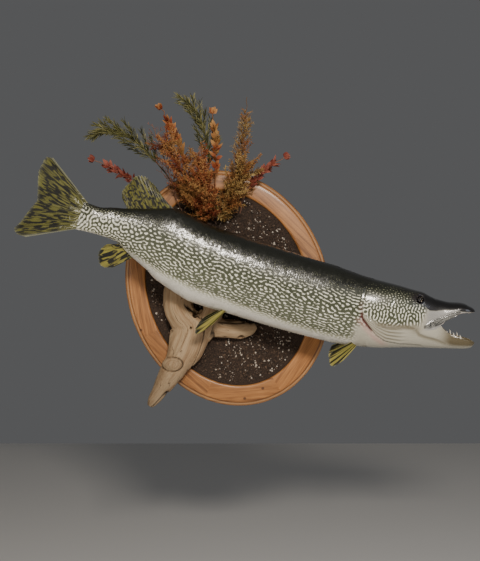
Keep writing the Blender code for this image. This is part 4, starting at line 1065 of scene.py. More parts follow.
class GlassEye:
    """A sunken painted iris with a clear cornea over it."""

    LOW = 0.40  # where the lens is cut off, as a share of its radius
    FLAT = 0.62  # where the ball is pressed in under the lens
    DISH = 0.30  # how hollow it is there
    BALL = 0.93  # the ball's radius, as a share of the lens's
    EDGE = 0.784  # the iris's edge, as a share of the radius
    TURN = (0.08, 0.10)  # how far it looks forwards and up

    def __init__(self, pike: Pike, side: int) -> None:
        self.pike, self.side = pike, side

    def place(self) -> Matrix:
        """Puts the eye in its socket, with its axis the way it looks."""
        sizes, at = self.pike.sizes, self.pike.at
        ahead, up = sizes.eye
        centre = at(ahead, up, self.side * (sizes.eye_out + sizes.eye_proud - sizes.eye_radius))
        middle = at(ahead, up, 0)
        gaze = (at(ahead, up, self.side) - middle).normalized()
        gaze = (gaze + (at(ahead, up + 1, 0) - middle) * self.TURN[1]
                + (at(ahead + 1, up, 0) - middle) * self.TURN[0]).normalized()
        turn = Vector((0, 0, 1)).rotation_difference(gaze).to_matrix().to_4x4()
        return Matrix.Translation(centre) @ turn

    def shell(self, name: str, material: bpy.types.Material, radius: float, lens: bool) -> None:
        """Makes the ball with its flat iris, or the lens over it.

        Args:
            name: the piece's name.
            material: its paint or glass.
            radius: its radius.
            lens: whether it is the lens.
        """
        build = bmesh.new()
        bmesh.ops.create_uvsphere(build, u_segments=48, v_segments=36, radius=radius)
        if lens:
            low = [v for v in build.verts if v.co.z < radius * self.LOW]
            bmesh.ops.delete(build, geom=low, context="VERTS")
            bmesh.ops.holes_fill(build, edges=[e for e in build.edges if e.is_boundary])
        else:
            for vertex in build.verts:
                height = vertex.co.z / radius
                if height > self.FLAT:
                    vertex.co.z = radius * (self.FLAT - self.DISH * (height - self.FLAT))
        reach = [math.hypot(v.co.x, v.co.y) / (radius * self.EDGE) if v.co.z > 0 else 1.2
                 for v in build.verts]
        bmesh.ops.transform(build, matrix=self.place(), verts=build.verts)
        build.verts.index_update()
        points = np.array([v.co for v in build.verts])
        # The order of a sphere's faces differs from run to run, so they are sorted.
        faces = []
        for corners in ([v.index for v in face.verts] for face in build.faces):
            first = corners.index(min(corners))
            faces.append(corners[first:] + corners[:first])
        build.free()
        solids = () if lens else (f"eye_{SIDES[self.side]}",)
        made = add_piece(name, points, sorted(faces), material, sharp=50, replaces=solids)
        add_values(made, "Reach", np.array(reach))

    def build(self, finish: EyeFinish) -> None:
        """Makes the painted ball and its lens."""
        (paint, glass), radius = finish.materials(), self.pike.sizes.eye_radius
        name = SIDES[self.side]
        self.shell(f"eye_ball_{name}", paint, radius * self.BALL, False)
        self.shell(f"eye_lens_{name}", glass, radius, True)


@dataclass(frozen=True)
class MouthFinish:
    """Cast resin for teeth, a little see-through, and painted flesh under wet gloss."""
    tooth: str = "#E9E2CF"
    root: str = "#A88C6A"
    tongue: str = "#C9A698"
    pores: str = "#A37F74"

    def teeth(self) -> bpy.types.Material:
        """Ivory that yellows towards the gums."""
        paint = Paint("cast_resin_ivory", {
            "Roughness": 0.22, "IOR": 1.54, "Coat Weight": 0.5, "Coat Roughness": 0.05})
        up = paint.add("Attribute", attribute_name="Height", out="Fac")
        return paint.finish(paint.add("ValToRGB", {0: up}, stops=(
            (0.0, self.root), (0.35, self.tooth))))

    def flesh(self) -> bpy.types.Material:
        """Pinkish painted flesh with a fine wet grain."""
        paint = Paint("painted_resin_flesh", {
            "Roughness": 0.3, "IOR": 1.5, "Coat Weight": 0.7, "Coat Roughness": 0.1})
        where = paint.add("TexCoord", out="Object")
        grain = paint.add("TexNoise", {"Vector": where, "Scale": 400.0, "Detail": 3.0})
        colour = paint.add("ValToRGB", {0: grain}, stops=((0.3, self.pores), (0.7, self.tongue)))
        return paint.finish(colour, relief=(grain, 0.4, 0.0008))


@dataclass(frozen=True)
class MouthSizes:
    """The teeth: where each row starts forwards of the gill opening, and its spacing."""
    dog_start: tuple = (0.1880, 0.0075)
    dog_shares: tuple = (0.30, 0.40, 1.0, 0.38, 0.88, 0.28, 0.22, 0.20)  # of the tallest
    dog: tuple = (0.0122, 0.0019)  # the tallest one's height and half its root's width
    front_start: tuple = (0.240, 0.0022)
    front_count: int = 5
    front: tuple = (0.0030, 0.0008)
    roof_start: tuple = (0.170, 0.0030)
    roof_rows: Rows = ((0.0026, 0.0042), (0.0078, 0.0052), (0.0125, 0.0036))  # inset, height
    roof_root: float = 0.0009
    tongue: tuple = (0.004, 0.094, 0.0105)  # start past the jaw's joint, length, half width


class Mouth:
    """The teeth of both jaws and the tongue."""

    TOOTH_SIDES, TOOTH_RINGS = 8, 6
    TONGUE_SIDES, TONGUE_RINGS = 28, 40

    def __init__(self, pike: Pike, sizes: MouthSizes) -> None:
        self.pike, self.sizes = pike, sizes

    def tooth(self, ahead: float, up: float, side: float, height: float, root: float, way: int
              ) -> Array:
        """Shapes one curved tooth.

        Args:
            ahead: its place forwards of the gill opening.
            up: how high its root is.
            side: how far out of the right flank.
            height: how tall it is.
            root: half its width at the root.
            way: 1 where it points up, -1 where it points down.

        Returns:
            Its points.
        """
        t = np.linspace(0, 1, self.TOOTH_RINGS)[:, None]
        turn = np.arange(self.TOOTH_SIDES)[None, :] * math.tau / self.TOOTH_SIDES
        thick = root * (1 - t) ** 0.75 + 0.00012
        x = ahead - 0.32 * height * t ** 2 + thick * np.cos(turn) * 1.15
        y = side * (1 - 0.05 * t) + thick * np.sin(turn)
        z = up + way * (height * t - 0.0016) + 0 * turn
        return self.pike.place(self.pike.sizes.head - x, z, y).reshape(-1, 3)

    def spots(self, sign: int, dice: np.random.Generator) -> list[tuple]:
        """Where one side's teeth stand, with their heights and roots, as tooth() takes them."""
        sizes, curves, spots = self.sizes, self.pike.curves, []
        first, spacing = sizes.dog_start
        for k, share in enumerate(sizes.dog_shares):
            ahead = first + spacing * k
            half = float(curves["jaw"](ahead)) - 0.0030
            spots.append((ahead, float(curves["lower_lip"](ahead)), sign * half,
                          sizes.dog[0] * share, sizes.dog[1] * (0.5 + 0.5 * share), 1))
        first, spacing = sizes.front_start
        for ahead in (first + spacing * k for k in range(sizes.front_count)):
            half = float(curves["jaw"](ahead)) * 0.8
            spots.append((ahead, float(curves["lower_lip"](ahead)), sign * half, *sizes.front, 1))
        first, spacing = sizes.roof_start
        for row, (inward, tall) in enumerate(sizes.roof_rows):
            for k in range(22 - 5 * row):
                ahead = first + spacing * k + dice.uniform(-0.0006, 0.0006)
                half = float(curves["snout"](ahead)) - inward
                lip, roof = float(curves["upper_lip"](ahead)), float(curves["palate"](ahead))
                up = lip + (roof - lip) * min(1.0, 0.05 + 0.42 * row)
                if half > 0.002:
                    spots.append((ahead, up, sign * half, tall * dice.uniform(0.7, 1.2),
                                  sizes.roof_root, -1))
        return spots

    def teeth(self, finish: MouthFinish) -> None:
        """Dog teeth along the lower jaw, small ones along its front and bands in the roof."""
        dice = np.random.default_rng(5)
        spots = [spot for side in SIDES for spot in self.spots(side, dice)]
        points, faces = join_copies(tube_faces(self.TOOTH_RINGS, self.TOOTH_SIDES),
                                    np.stack([self.tooth(*spot) for spot in spots]))
        made = add_piece("teeth", points, faces, finish.teeth(), sharp=70)
        height = np.repeat(np.linspace(0, 1, self.TOOTH_RINGS), self.TOOTH_SIDES)
        add_values(made, "Height", np.tile(height, len(spots)))

    def tongue(self, finish: MouthFinish) -> None:
        """A flat tongue on the floor of the mouth, with a groove down its middle."""
        pike, curves = self.pike, self.pike.curves
        start, length, wide = self.sizes.tongue
        t = np.linspace(0, 1, self.TONGUE_RINGS)[:, None]
        turn = np.arange(self.TONGUE_SIDES)[None, :] * math.tau / self.TONGUE_SIDES
        ahead = pike.sizes.joint + start + length * t
        lip, deep = curves["lower_lip"](ahead), curves["floor"](ahead)
        floor = lip - np.minimum(np.abs(deep - lip),
                                 Skin.FULL * np.abs(curves["chin"](ahead) - lip))
        blunt = np.sqrt((1 - (2 * (t - 0.5)).clip(0, 1) ** 6).clip(0.02, 1))
        rise = 0.0042 * (1 - 0.3 * t)
        groove = 0.0010 * np.exp(-(np.cos(turn) / 0.25) ** 2) * (np.sin(turn) > 0)
        up = floor + 0.0024 + rise + rise * blunt * np.sin(turn) - groove
        points = pike.place(pike.sizes.head - ahead + 0 * turn, up,
                            wide * (1 - 0.45 * t) * blunt * np.cos(turn))
        add_piece("tongue_flesh", points, tube_faces(self.TONGUE_RINGS, self.TONGUE_SIDES),
                  finish.flesh(), replaces=("tongue",))


# ---------------------------------------------------------------- fins
class FinKind(Enum):
    """How a fin is marked: streaks along its rays, waves across them or sharp stripes."""
    TAIL = "tail"
    BACK = "back"
    ANAL = "anal"
    PAIRED = "paired"


@dataclass(frozen=True)
class FinFinish:
    """Airbrushed resin fin: yellow-olive, dark marks, painted highlight on rays, satin gloss."""
    kind: FinKind
    light: str
    base: str
    along: float  # half the length and half the spacing of the dark marks, in metres
    across: float
    share: float = 0.50  # noise under this is dark
    soft: float = 0.05
    wander: float = 0.6
    dark: str = "#12120A"
    # The ray colour is a painted highlight on the raised rays.
    ray: str = "#807C48"
    rim: str = "#83846E"
    silver: str = "#B4B39F"

    def material(self) -> bpy.types.Material:
        """The marks follow the fin's own map, which runs across the rays and along them."""
        paint = Paint(f"airbrushed_fin_{self.kind.value}", {
            "Roughness": 0.6, "IOR": 1.35, "Coat Weight": 0.08, "Coat Roughness": 0.2})
        ribs, edge, keep, _ = paint.stored("Fin")
        rays = paint.add("UVMap", uv_map="Rays")
        marks = paint.fibres(rays, (1 / self.across, 1 / self.along, 1.0), {
            "Detail": 1.5, "Roughness": 0.45, "Distortion": self.wander}, noise_dimensions="2D")
        # Streaks that follow single rays, a few millimetres apart.
        streak = paint.fibres(rays, (1 / 0.0035, 1 / 0.045, 1.0), noise_dimensions="2D")
        tone = paint.add("ValToRGB", {0: streak}, stops=((0.32, self.base), (0.66, self.light)))
        # A painted highlight on the raised rays, where the ribs stand out.
        lit = paint.add("Math", {0: ribs, 1: 0.40}, operation="MULTIPLY")
        mark = paint.add("MapRange", {
            0: marks, 1: self.share - self.soft, 2: self.share + self.soft, 3: 1.0, 4: 0.0},
            interpolation_type="SMOOTHSTEP")
        mark = paint.add("Math", {0: mark, 1: keep}, operation="MULTIPLY")
        # The stem's silver worms, 6 mm apart, run out over the root of the tail.
        where = paint.add("TexCoord", out="Object")
        worms = paint.add("TexNoise", {"Vector": where, "Scale": 150.0, "Detail": 0.0,
                                       "Distortion": 0.4})
        worms = paint.add("MapRange", {0: paint.winding(worms), 1: 0.06, 2: 0.03},
                          interpolation_type="SMOOTHSTEP")
        bare = paint.add("Math", {0: 1.0, 1: keep}, operation="SUBTRACT")
        worms = paint.add("Math", {0: worms, 1: bare}, operation="MULTIPLY")
        return paint.finish(tone, (
            (lit, self.ray), (mark, self.dark), (worms, self.silver), (edge, self.rim)),
            (streak, 0.25, 0.0006))


@dataclass(frozen=True)
class FinSizes:
    """The rays of each fin by their roots and tips, as the solids have them."""
    back: Rows = (
        (0.700, 0.745, 0.0985), (0.712, 0.762, 0.1130), (0.724, 0.778, 0.1205),
        (0.735, 0.790, 0.1260), (0.747, 0.802, 0.1240), (0.758, 0.812, 0.1165),
        (0.769, 0.817, 0.1030), (0.779, 0.8235, 0.0880), (0.788, 0.826, 0.0765),
        (0.795, 0.8215, 0.0650), (0.799, 0.8125, 0.0560))
    anal: Rows = (
        (0.7505, 0.769, 0.0655), (0.755, 0.780, 0.0775), (0.760, 0.792, 0.0885),
        (0.765, 0.806, 0.0925), (0.770, 0.8215, 0.0865), (0.775, 0.829, 0.0725),
        (0.780, 0.827, 0.0555), (0.7845, 0.816, 0.0415), (0.788, 0.799, 0.0355))
    tail: Rows = (
        (-1.0, 0.989, -0.0815), (-0.9, 1.008, -0.0810), (-0.8, 1.017, -0.0725),
        (-0.6, 1.0085, -0.0530), (-0.4, 1.0025, -0.0335), (-0.2, 0.9955, -0.0140),
        (0.0, 0.9895, 0.0035), (0.2, 0.9945, 0.0215), (0.4, 0.9985, 0.0370),
        (0.6, 1.0035, 0.0560), (0.8, 1.002, 0.0790), (0.92, 0.9965, 0.0965),
        (1.0, 0.983, 0.0985))
    chest: Rows = (
        (0.2445, -0.0625, 0.2855, -0.0930), (0.244, -0.064, 0.288, -0.1010),
        (0.2435, -0.0655, 0.289, -0.1095), (0.243, -0.067, 0.2875, -0.1185),
        (0.2425, -0.0685, 0.2835, -0.1265), (0.242, -0.070, 0.277, -0.1275),
        (0.2415, -0.0715, 0.269, -0.1190), (0.241, -0.073, 0.260, -0.1090))
    belly: Rows = (
        (0.5250, -0.078, 0.5565, -0.1110), (0.5240, -0.078, 0.561, -0.1180),
        (0.5230, -0.078, 0.5655, -0.1265), (0.5225, -0.077, 0.5685, -0.1345),
        (0.5215, -0.077, 0.569, -0.1440), (0.5205, -0.077, 0.5645, -0.1535),
        (0.5200, -0.077, 0.556, -0.1450), (0.5190, -0.076, 0.547, -0.1330),
        (0.5180, -0.076, 0.5385, -0.1200))
    tail_root: float = 0.027
    tail_start: float = 0.882
    sunk: float = 0.006  # how deep the middle fins are set in the body, and the paired ones
    tucked: float = 0.011
    thick: float = 0.0018
    ridge: float = 0.00022


class Fins:
    """Thin fins with raised rays and a scalloped edge."""

    def __init__(self, pike: Pike, sizes: FinSizes) -> None:
        self.pike, self.sizes = pike, sizes

    def width_at(self, s: float, up: float) -> float:
        """Half the body's width at a height under the side line."""
        half = float(self.pike.half_widths(np.array(s))[0])
        bottom = float(self.pike.heights(np.array(s))[3])
        square = float(self.pike.squareness(np.array(s))[1])
        return half * (1 - min(1.0, abs(up / bottom)) ** square) ** (1 / square)

    def lay(self, name: str, roots: Array, tips: Array, sag: float, rays: int, rows: int,
            finish: bpy.types.Material, node: str, *, ragged: float, edge_pale: float,
            silver: float = 0.0) -> None:
        """Builds one fin between the ends of its rays.

        Args:
            roots: (rays, 3) points of the rays' roots.
            tips: (rays, 3) points of their tips.
            sag: how far the tips bow sideways.
            rays: how many rays stand out.
            rows: how many faces there are along a ray.
            node: the solid that it stands for.
            ragged: how far the skin draws back between rays, as a share of their length.
            edge_pale: how pale the first and the last ray are.
            silver: the share of a ray's length from its root that bears silver worms.
        """
        u = np.linspace(0, 1, rays * 6 + 1)
        t = np.linspace(0, 1, rows + 1)[:, None]
        wave = 0.5 + 0.5 * np.cos(math.tau * rays * u)
        stops = np.linspace(0, 1, len(roots))
        root, tip = through(stops, roots, u), through(stops, tips, u)
        normal = unit(np.cross(roots[-1] - roots[0] + tips[-1] - tips[0], tips[-1] - roots[-1]))
        dice = np.random.default_rng(len(name) * 7 + rays)
        notch = np.interp(u * rays, np.arange(rays + 1), dice.uniform(0.3, 1.0, rays + 1))
        reach = (t * (1 - ragged * (1 - wave) * notch))[..., None]
        fork = np.cos(math.tau * rays * 2 * u)  # rays divide in two towards the edge
        ribs = wave * (1 - smooth(0.5, 0.9, t)) + (0.5 + 0.5 * fork) * smooth(0.5, 0.9, t) * 0.7
        half = self.sizes.thick / 2 * (1 - 0.5 * t) + self.sizes.ridge * (1 - 0.55 * t) * ribs
        bow = sag * t * t + 0.0006 * np.sin(math.tau * (u * 2.3 + t * 0.8)) * t
        middle = root + (tip - root) * reach + normal * bow[..., None]
        points = np.concatenate([middle - normal * half[..., None],
                                 middle + normal * half[..., None]])
        a = np.arange(t.size * u.size).reshape(t.size, u.size)
        rim = np.concatenate([a[0], a[1:, -1], a[-1, -2::-1], a[-2:0:-1, 0], a[:1, 0]])
        faces = (grid_faces(a) + grid_faces((a + a.size)[:, ::-1])
                 + grid_faces(np.stack([rim, rim + a.size])))
        made = add_piece(name, points, faces, finish, sharp=50, replaces=(node,))
        edge = np.maximum(smooth(0.06, 0.0, u), smooth(0.94, 1.0, u)) * edge_pale
        edge = np.maximum(edge, smooth(0.95, 1.0, t) * 0.5 * (0.4 + 0.6 * wave))
        keep = smooth(0.1 * silver, silver, t + 0.10 * np.sin(u * 31)) if silver else 1.0
        table = np.stack(np.broadcast_arrays(ribs, edge, keep), -1).reshape(-1, 3)
        add_values(made, "Fin", np.concatenate([table, table]))
        wide = np.linalg.norm(tips[-1] - tips[0]) / 2 + np.linalg.norm(roots[-1] - roots[0]) / 2
        long = np.linalg.norm(tips - roots, axis=1).mean()
        grid = np.stack(np.broadcast_arrays(u * wide, t * long), -1)
        add_map(made, "Rays", np.concatenate([grid, grid]))

    def tail(self) -> None:
        """The forked tail, from its rays' roots across the stem."""
        sizes, pike = self.sizes, self.pike
        root, s, up = np.array(sizes.tail).T
        streaks = FinFinish(FinKind.TAIL, "#585718", "#35340D", 0.022, 0.0034, wander=0.2)
        self.lay("fin_tail", pike.place(sizes.tail_start, root * sizes.tail_root, 0),
                 pike.place(s, up, 0), 0.006, 22, 30, streaks.material(), "tail_fin",
                 ragged=0.012, edge_pale=0.75, silver=0.34)

    def middle_fins(self) -> None:
        """The back fin and the anal fin under it."""
        sizes, pike = self.sizes, self.pike
        blotches = FinFinish(FinKind.BACK, "#625F14", "#33310A", 0.0085, 0.0048, soft=0.07)
        bands = FinFinish(FinKind.ANAL, "#8E8638", "#665E1C", 0.018, 0.0036, share=0.51)
        for name, rays, edge, sign, sag, count, finish in (
                ("back", sizes.back, pike.trunk[0], 1, 0.005, 19, blotches),
                ("anal", sizes.anal, pike.trunk[1], -1, 0.003, 16, bands)):
            root, tip, up = np.array(rays).T
            self.lay(f"fin_{name}", pike.place(root, sign * (edge(root) - sizes.sunk), 0),
                     pike.place(tip, sign * up, 0), sag, count, 24, finish.material(),
                     f"{name}_fin", ragged=0.05, edge_pale=0.35)

    def paired_fins(self) -> None:
        """The folded chest and belly fins, which flare more on the side that is seen."""
        sizes, pike = self.sizes, self.pike
        stripes = FinFinish(FinKind.PAIRED, "#A2954A", "#757028", 0.20, 0.0044, share=0.48,
                            soft=0.03, wander=0.12).material()
        for name, rays, flares in (("chest", sizes.chest, (0.022, 0.012)),
                                   ("belly", sizes.belly, (0.018, -0.004))):
            root, root_up, tip, tip_up = np.array(rays).T
            foot = np.array([self.width_at(s, up) for s, up, _, _ in rays]) - sizes.tucked
            for (sign, side), flare in zip(SIDES.items(), flares):
                self.lay(f"fin_{name}_{side}", pike.place(root, root_up, sign * foot),
                         pike.place(tip, tip_up, sign * (foot + flare)), 0.004 * sign, 11, 18,
                         stripes, f"{name}_fin_{side}", ragged=0.03, edge_pale=0.15)

    def build(self) -> None:
        """Makes all seven fins."""
        self.tail()
        self.middle_fins()
        self.paired_fins()


# ---------------------------------------------------------------- the plaque
@dataclass(frozen=True)
class WoodFinish:
    """Oiled cherry, turned in staves: warm grain in gentle waves under a satin varnish."""
    light: str = "#BE8040"
    middle: str = "#9E652C"
    dark: str = "#76481E"
    knot: str = "#4A2A16"
    # The next two colours are painted shade in the moulding's step and a painted highlight on its
    # outer edge.
    groove: str = "#5E3417"
    edge_glint: str = "#D6B48A"
    ply: tuple = ("#8C6D45", "#BFA074")

    def rim(self) -> bpy.types.Material:
        """The grain runs along the piece's own map, with a few pin knots."""
        paint = Paint("varnished_cherry", {
            "Roughness": 0.46, "IOR": 1.45, "Coat Weight": 0.14, "Coat Roughness": 0.15})
        shade, step, glint, _ = paint.stored("Stave")
        where = paint.add("UVMap", uv_map="Grain")
        flat = {"noise_dimensions": "2D"}
        drift = paint.fibres(where, (9.0, 60.0, 1.0), {"Detail": 2.0}, **flat)
        # Growth rings 6 mm apart, which bend where the drift is strong.
        figure = paint.fibres(where, (4.0, 165.0, 1.0), {
            "Detail": 3.0, "Roughness": 0.6, "Distortion": 0.55}, **flat)
        pores = paint.fibres(where, (40.0, 1100.0, 1.0), {"Detail": 1.0}, **flat)
        grain = paint.add("Mix", {0: 0.35, 2: figure, 3: drift})
        grain = paint.add("Mix", {0: 0.22, 2: grain, 3: pores})
        tone = paint.add("ValToRGB", {0: grain}, stops=(
            (0.34, self.dark), (0.46, self.middle), (0.64, self.light)))
        tone = paint.add("HueSaturation", {"Color": tone, "Value": shade, "Saturation": 0.95})
        spots = paint.add("TexVoronoi", {"Vector": where, "Scale": 7.5}, out="Distance",
                          voronoi_dimensions="2D")
        knot = paint.add("MapRange", {0: spots, 1: 0.018, 2: 0.034, 3: 0.85, 4: 0.0})
        # Painted shade along the moulding's step, and a painted highlight on its outer edge.
        line = paint.add("Math", {0: step, 1: 0.8}, operation="MULTIPLY")
        return paint.finish(tone, (
            (knot, self.knot), (line, self.groove), (glint, self.edge_glint)), (pores, 0.10, 0.0003))

    def panel(self) -> bpy.types.Material:
        """Birch plywood as sawn: pale plies at the edge and long grain on its back."""
        paint = Paint("sawn_birch_plywood", {"Roughness": 0.75, "IOR": 1.5})
        where = paint.add("TexCoord", out="Object")
        figure = paint.fibres(where, (220.0, 500.0, 6.0), {"Detail": 4.0})
        plies = paint.add("TexWave", {"Vector": where, "Scale": 160.0, "Distortion": 0.6},
                          out="Fac", bands_direction="Y")
        mixed = paint.add("Mix", {0: 0.4, 2: figure, 3: plies})
        tone = paint.add("ValToRGB", {0: mixed}, stops=((0.3, self.ply[0]), (0.7, self.ply[1])))
        return paint.finish(tone, relief=(figure, 0.3, 0.0005))


@dataclass(frozen=True)
class SoilFinish:
    """Dry potting soil: nearly black peat with bark crumbs and white perlite."""
    name: str
    low: str
    high: str
    scale: float

    def material(self) -> bpy.types.Material:
        """One crumbly part of the soil, between two colours."""
        paint = Paint(self.name, {"Roughness": 0.92, "IOR": 1.45})
        where = paint.add("TexCoord", out="Object")
        patch = paint.add("TexNoise", {"Vector": where, "Scale": self.scale, "Detail": 6.0,
                                       "Roughness": 0.7})
        tone = paint.add("ValToRGB", {0: patch}, stops=((0.36, self.low), (0.62, self.high)))
        return paint.finish(tone, relief=(patch, 0.9, 0.0015))


@dataclass(frozen=True)
class GrainSizes:
    """Loose grains on the soil: how many are strewn, their sizes and their look."""
    name: str
    count: int
    small: float
    large: float
    finish: SoilFinish
    seed: int
    drifts: bool = False  # whether they gather in drifts


@dataclass(frozen=True)
class PlaqueSizes:
    """The oval and its moulding, as the solids have them."""
    long: float = 0.279
    short: float = 0.234
    lean: float = math.radians(19.6)
    width: float = 0.048
    # How far in from the edge, and how far out from the wall.
    moulding: Rows = (
        (0, 0.0103), (0, 0.0192), (0.0004, 0.0204), (0.0025, 0.0232), (0.0050, 0.0246),
        (0.0080, 0.0252), (0.0087, 0.0262), (0.0094, 0.0280), (0.0104, 0.0290), (0.0125, 0.0294),
        (0.0185, 0.0297), (0.0300, 0.0300), (0.0420, 0.0299), (0.0450, 0.0296), (0.0470, 0.0284),
        (0.0479, 0.0266), (0.0480, 0.0250), (0.0480, 0.0103))
    step: tuple = (0.0085, 0.0009)  # painted shade in the moulding's step: how far in, and its width
    edge_glint: tuple = (0.0052, 0.0018)  # a painted highlight on the edge outside it
    stave_shades: tuple = (0.98, 1.06, 0.93, 1.02, 0.88, 0.97, 1.05, 0.92)
    soil_edge: float = 0.0250
    soil_back: float = 0.0103
    crown: float = 0.0036
    peat: SoilFinish = SoilFinish("dry_peat", "#17110D", "#46362B", 320.0)
    grains: tuple = (
        GrainSizes("bark_crumbs", 3600, 0.0010, 0.0042,
                   SoilFinish("bark_crumb", "#130E0B", "#6A5545", 150.0), 21),
        GrainSizes("perlite_grains", 1700, 0.0006, 0.0034,
                   SoilFinish("expanded_perlite", "#8C7A68", "#D6CEC2", 140.0), 22, True))


class Plaque:
    """The oval ring of wood and the soil bed inside it."""

    TURNS, SOIL_TURNS, SOIL_RINGS = 320, 240, 76

    def __init__(self, sizes: PlaqueSizes) -> None:
        self.sizes = sizes

    def point(self, angle: Array, inset: Array, out: Array) -> Array:
        """Places points round the oval.

        Args:
            angle: their angles.
            inset: how far in from its edge.
            out: how far out from the wall.

        Returns:
            The points in the model's frame.
        """
        sizes = self.sizes
        c, s = np.cos(angle), np.sin(angle)
        outward = unit(np.stack([sizes.long * c, sizes.short * s], -1))
        flat = np.stack([sizes.short * c, sizes.long * s], -1) - outward * np.asarray(
            inset)[..., None]
        cl, sl = math.cos(sizes.lean), math.sin(sizes.lean)
        x, z = flat[..., 0] * cl - flat[..., 1] * sl, flat[..., 0] * sl + flat[..., 1] * cl
        return np.stack([x, -np.broadcast_to(out, x.shape), z], -1)

    def stave(self, share: Array) -> Array:
        """The number of the stave at a share of the whole turn."""
        count = len(self.sizes.stave_shades)
        return (share * count - 0.2).astype(int) % count

    def rim(self, finish: WoodFinish) -> None:
        """The ring in eight staves, with a fine step near its outer edge."""
        sizes, turn = self.sizes, np.arange(self.TURNS) * math.tau / self.TURNS
        profile = np.array(sizes.moulding)
        inset, out = profile.T
        points = self.point(turn[:, None], inset[None, :], out[None, :])
        # The profile is a closed ring of its own, and the last section joins the first.
        numbers = np.arange(self.TURNS * len(profile)).reshape(self.TURNS, -1)
        loop = np.vstack([numbers, numbers[:1]])
        made = add_piece("cherry_ring", points, grid_faces(np.hstack([loop, loop[:, :1]])),
                         finish.rim(), sharp=35, replaces=("wood_rim",))
        shades = np.array(sizes.stave_shades)[self.stave(turn / math.tau)][:, None]
        # Where the painted shade of the step and the painted highlight of the outer edge lie.
        step, glint = (bump(inset - place, wide) for place, wide in (sizes.step, sizes.edge_glint))
        table = np.stack(np.broadcast_arrays(shades, step, glint * 0.35), -1)
        add_values(made, "Stave", table.reshape(-1, 3))
        self.map_staves(made, points.reshape(-1, 3), along_line(profile))

    def map_staves(self, ring: bpy.types.Object, points: Array, across: Array) -> None:
        """Lays straight grain in each stave, so that its boards meet the next at an angle."""
        staves, corners = len(self.sizes.stave_shades), corners_of(ring.data)
        uv = np.zeros((len(corners), 2), np.float32)
        for face in ring.data.polygons:
            part = slice(face.loop_start, face.loop_start + face.loop_total)
            ids = corners[part]
            rows = sorted(set((ids // len(across)).tolist()))
            first = rows[0] if rows[-1] - rows[0] < 2 else rows[-1]
            k = int(self.stave(np.array(first / self.TURNS)))
            angle = (k + 0.7) * math.tau / staves
            p = self.point(np.array([angle, angle + 0.02]), 0.024, 0.0)
            along = unit(p[1] - p[0])
            side = np.array([-along[2], 0.0, along[0]])
            flat = points[ids] - p[0]
            uv[part, 0] = flat @ along + 1.7 * k
            uv[part, 1] = flat @ side + across[ids % len(across)] * 0.12 + 0.31 * k
        ring.data.uv_layers.new(name="Grain").data.foreach_set("uv", uv.ravel())

    def height(self, x: Array, z: Array, share: Array) -> Array:
        """How far the soil stands out from the wall.

        Args:
            x: places along the wall.
            z: their heights.
            share: 1 at the ring, 0 in the middle.
        """
        spots = list(zip(x.ravel(), z.ravel()))
        lumps = np.array([noise.noise(Vector((a, 0, b)) * 28) + 0.5 * noise.noise(
            Vector((a, 3, b)) * 63) for a, b in spots]).reshape(x.shape)
        fine = np.array([noise.fractal(Vector((a, 7, b)) * 190, 0.7, 2.1, 4)
                         for a, b in spots]).reshape(x.shape)
        return (self.sizes.soil_edge + self.sizes.crown * (1 - share ** 2)
                + 0.0008 * lumps * np.minimum(1.0, 6 * (1 - share))
                + 0.0011 * fine * np.minimum(1.0, 14 * (1 - share)))

    def soil(self) -> None:
        """A lumpy bed inside the ring, closed at its back."""
        sizes, turns = self.sizes, self.SOIL_TURNS
        turn = np.arange(turns) * math.tau / turns
        share = np.sqrt(np.linspace(1.0, 0.0004, self.SOIL_RINGS))[:, None]
        edge = self.point(turn, np.full(turns, sizes.width + 0.0003), sizes.soil_back)
        x, z = edge[None, :, 0] * share, edge[None, :, 2] * share
        top = np.stack([x, -self.height(x, z, share + 0 * x), z], -1)
        add_piece("soil_surface", np.concatenate([edge[None], top]),
                  tube_faces(self.SOIL_RINGS + 1, turns), sizes.peat.material(),
                  sharp=70, replaces=("soil_bed",))
        for grain in sizes.grains:
            self.strew(grain)

    def strew(self, grain: GrainSizes) -> None:
        """Presses loose grains into the bed, each a knobbly ball of its own shape."""
        dice = np.random.default_rng(grain.seed)
        build = bmesh.new()
        bmesh.ops.create_icosphere(build, subdivisions=1, radius=1.0)
        ball = np.array([v.co for v in build.verts])
        shape = [[v.index for v in face.verts] for face in build.faces]
        build.free()
        a = dice.uniform(0, math.tau, grain.count)
        r = np.sqrt(dice.uniform(0.0, 0.955, grain.count))
        if grain.drifts:
            drift = np.array([noise.noise(Vector((math.cos(b) * q * 4, 9, math.sin(b) * q * 4)))
                              for b, q in zip(a, r)])
            a, r = a[drift > -0.12], r[drift > -0.12]
        count = len(a)
        rim = self.point(a, np.full(count, self.sizes.width + 0.004), 0.0)
        x, z = rim[:, 0] * r, rim[:, 2] * r
        size = grain.small + (grain.large - grain.small) * dice.uniform(0, 1, count) ** 2.2
        squash = dice.uniform(0.55, 1.0, (count, 3))
        knobs = 1 + dice.uniform(-0.25, 0.25, (count, len(ball), 1))
        body = ball[None] * knobs * squash[:, None, :] * size[:, None, None]
        spin = dice.uniform(0, math.tau, count)
        c, s = np.cos(spin)[:, None], np.sin(spin)[:, None]
        body = np.stack([body[..., 0] * c - body[..., 2] * s, body[..., 1] * 0.8,
                         body[..., 0] * s + body[..., 2] * c], -1)
        centre = np.stack([x, -self.height(x, z, r) - size * 0.25, z], -1)
        points, faces = join_copies(shape, body + centre[:, None, :])
        add_piece(grain.name, points, faces, grain.finish.material(), tidy=False,
                  sharp=25)

    def panel(self, finish: WoodFinish) -> None:
        """Gives the solid back panel its plywood."""
        plywood = finish.panel()
        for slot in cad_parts["back_panel"].material_slots:
            slot.material = plywood


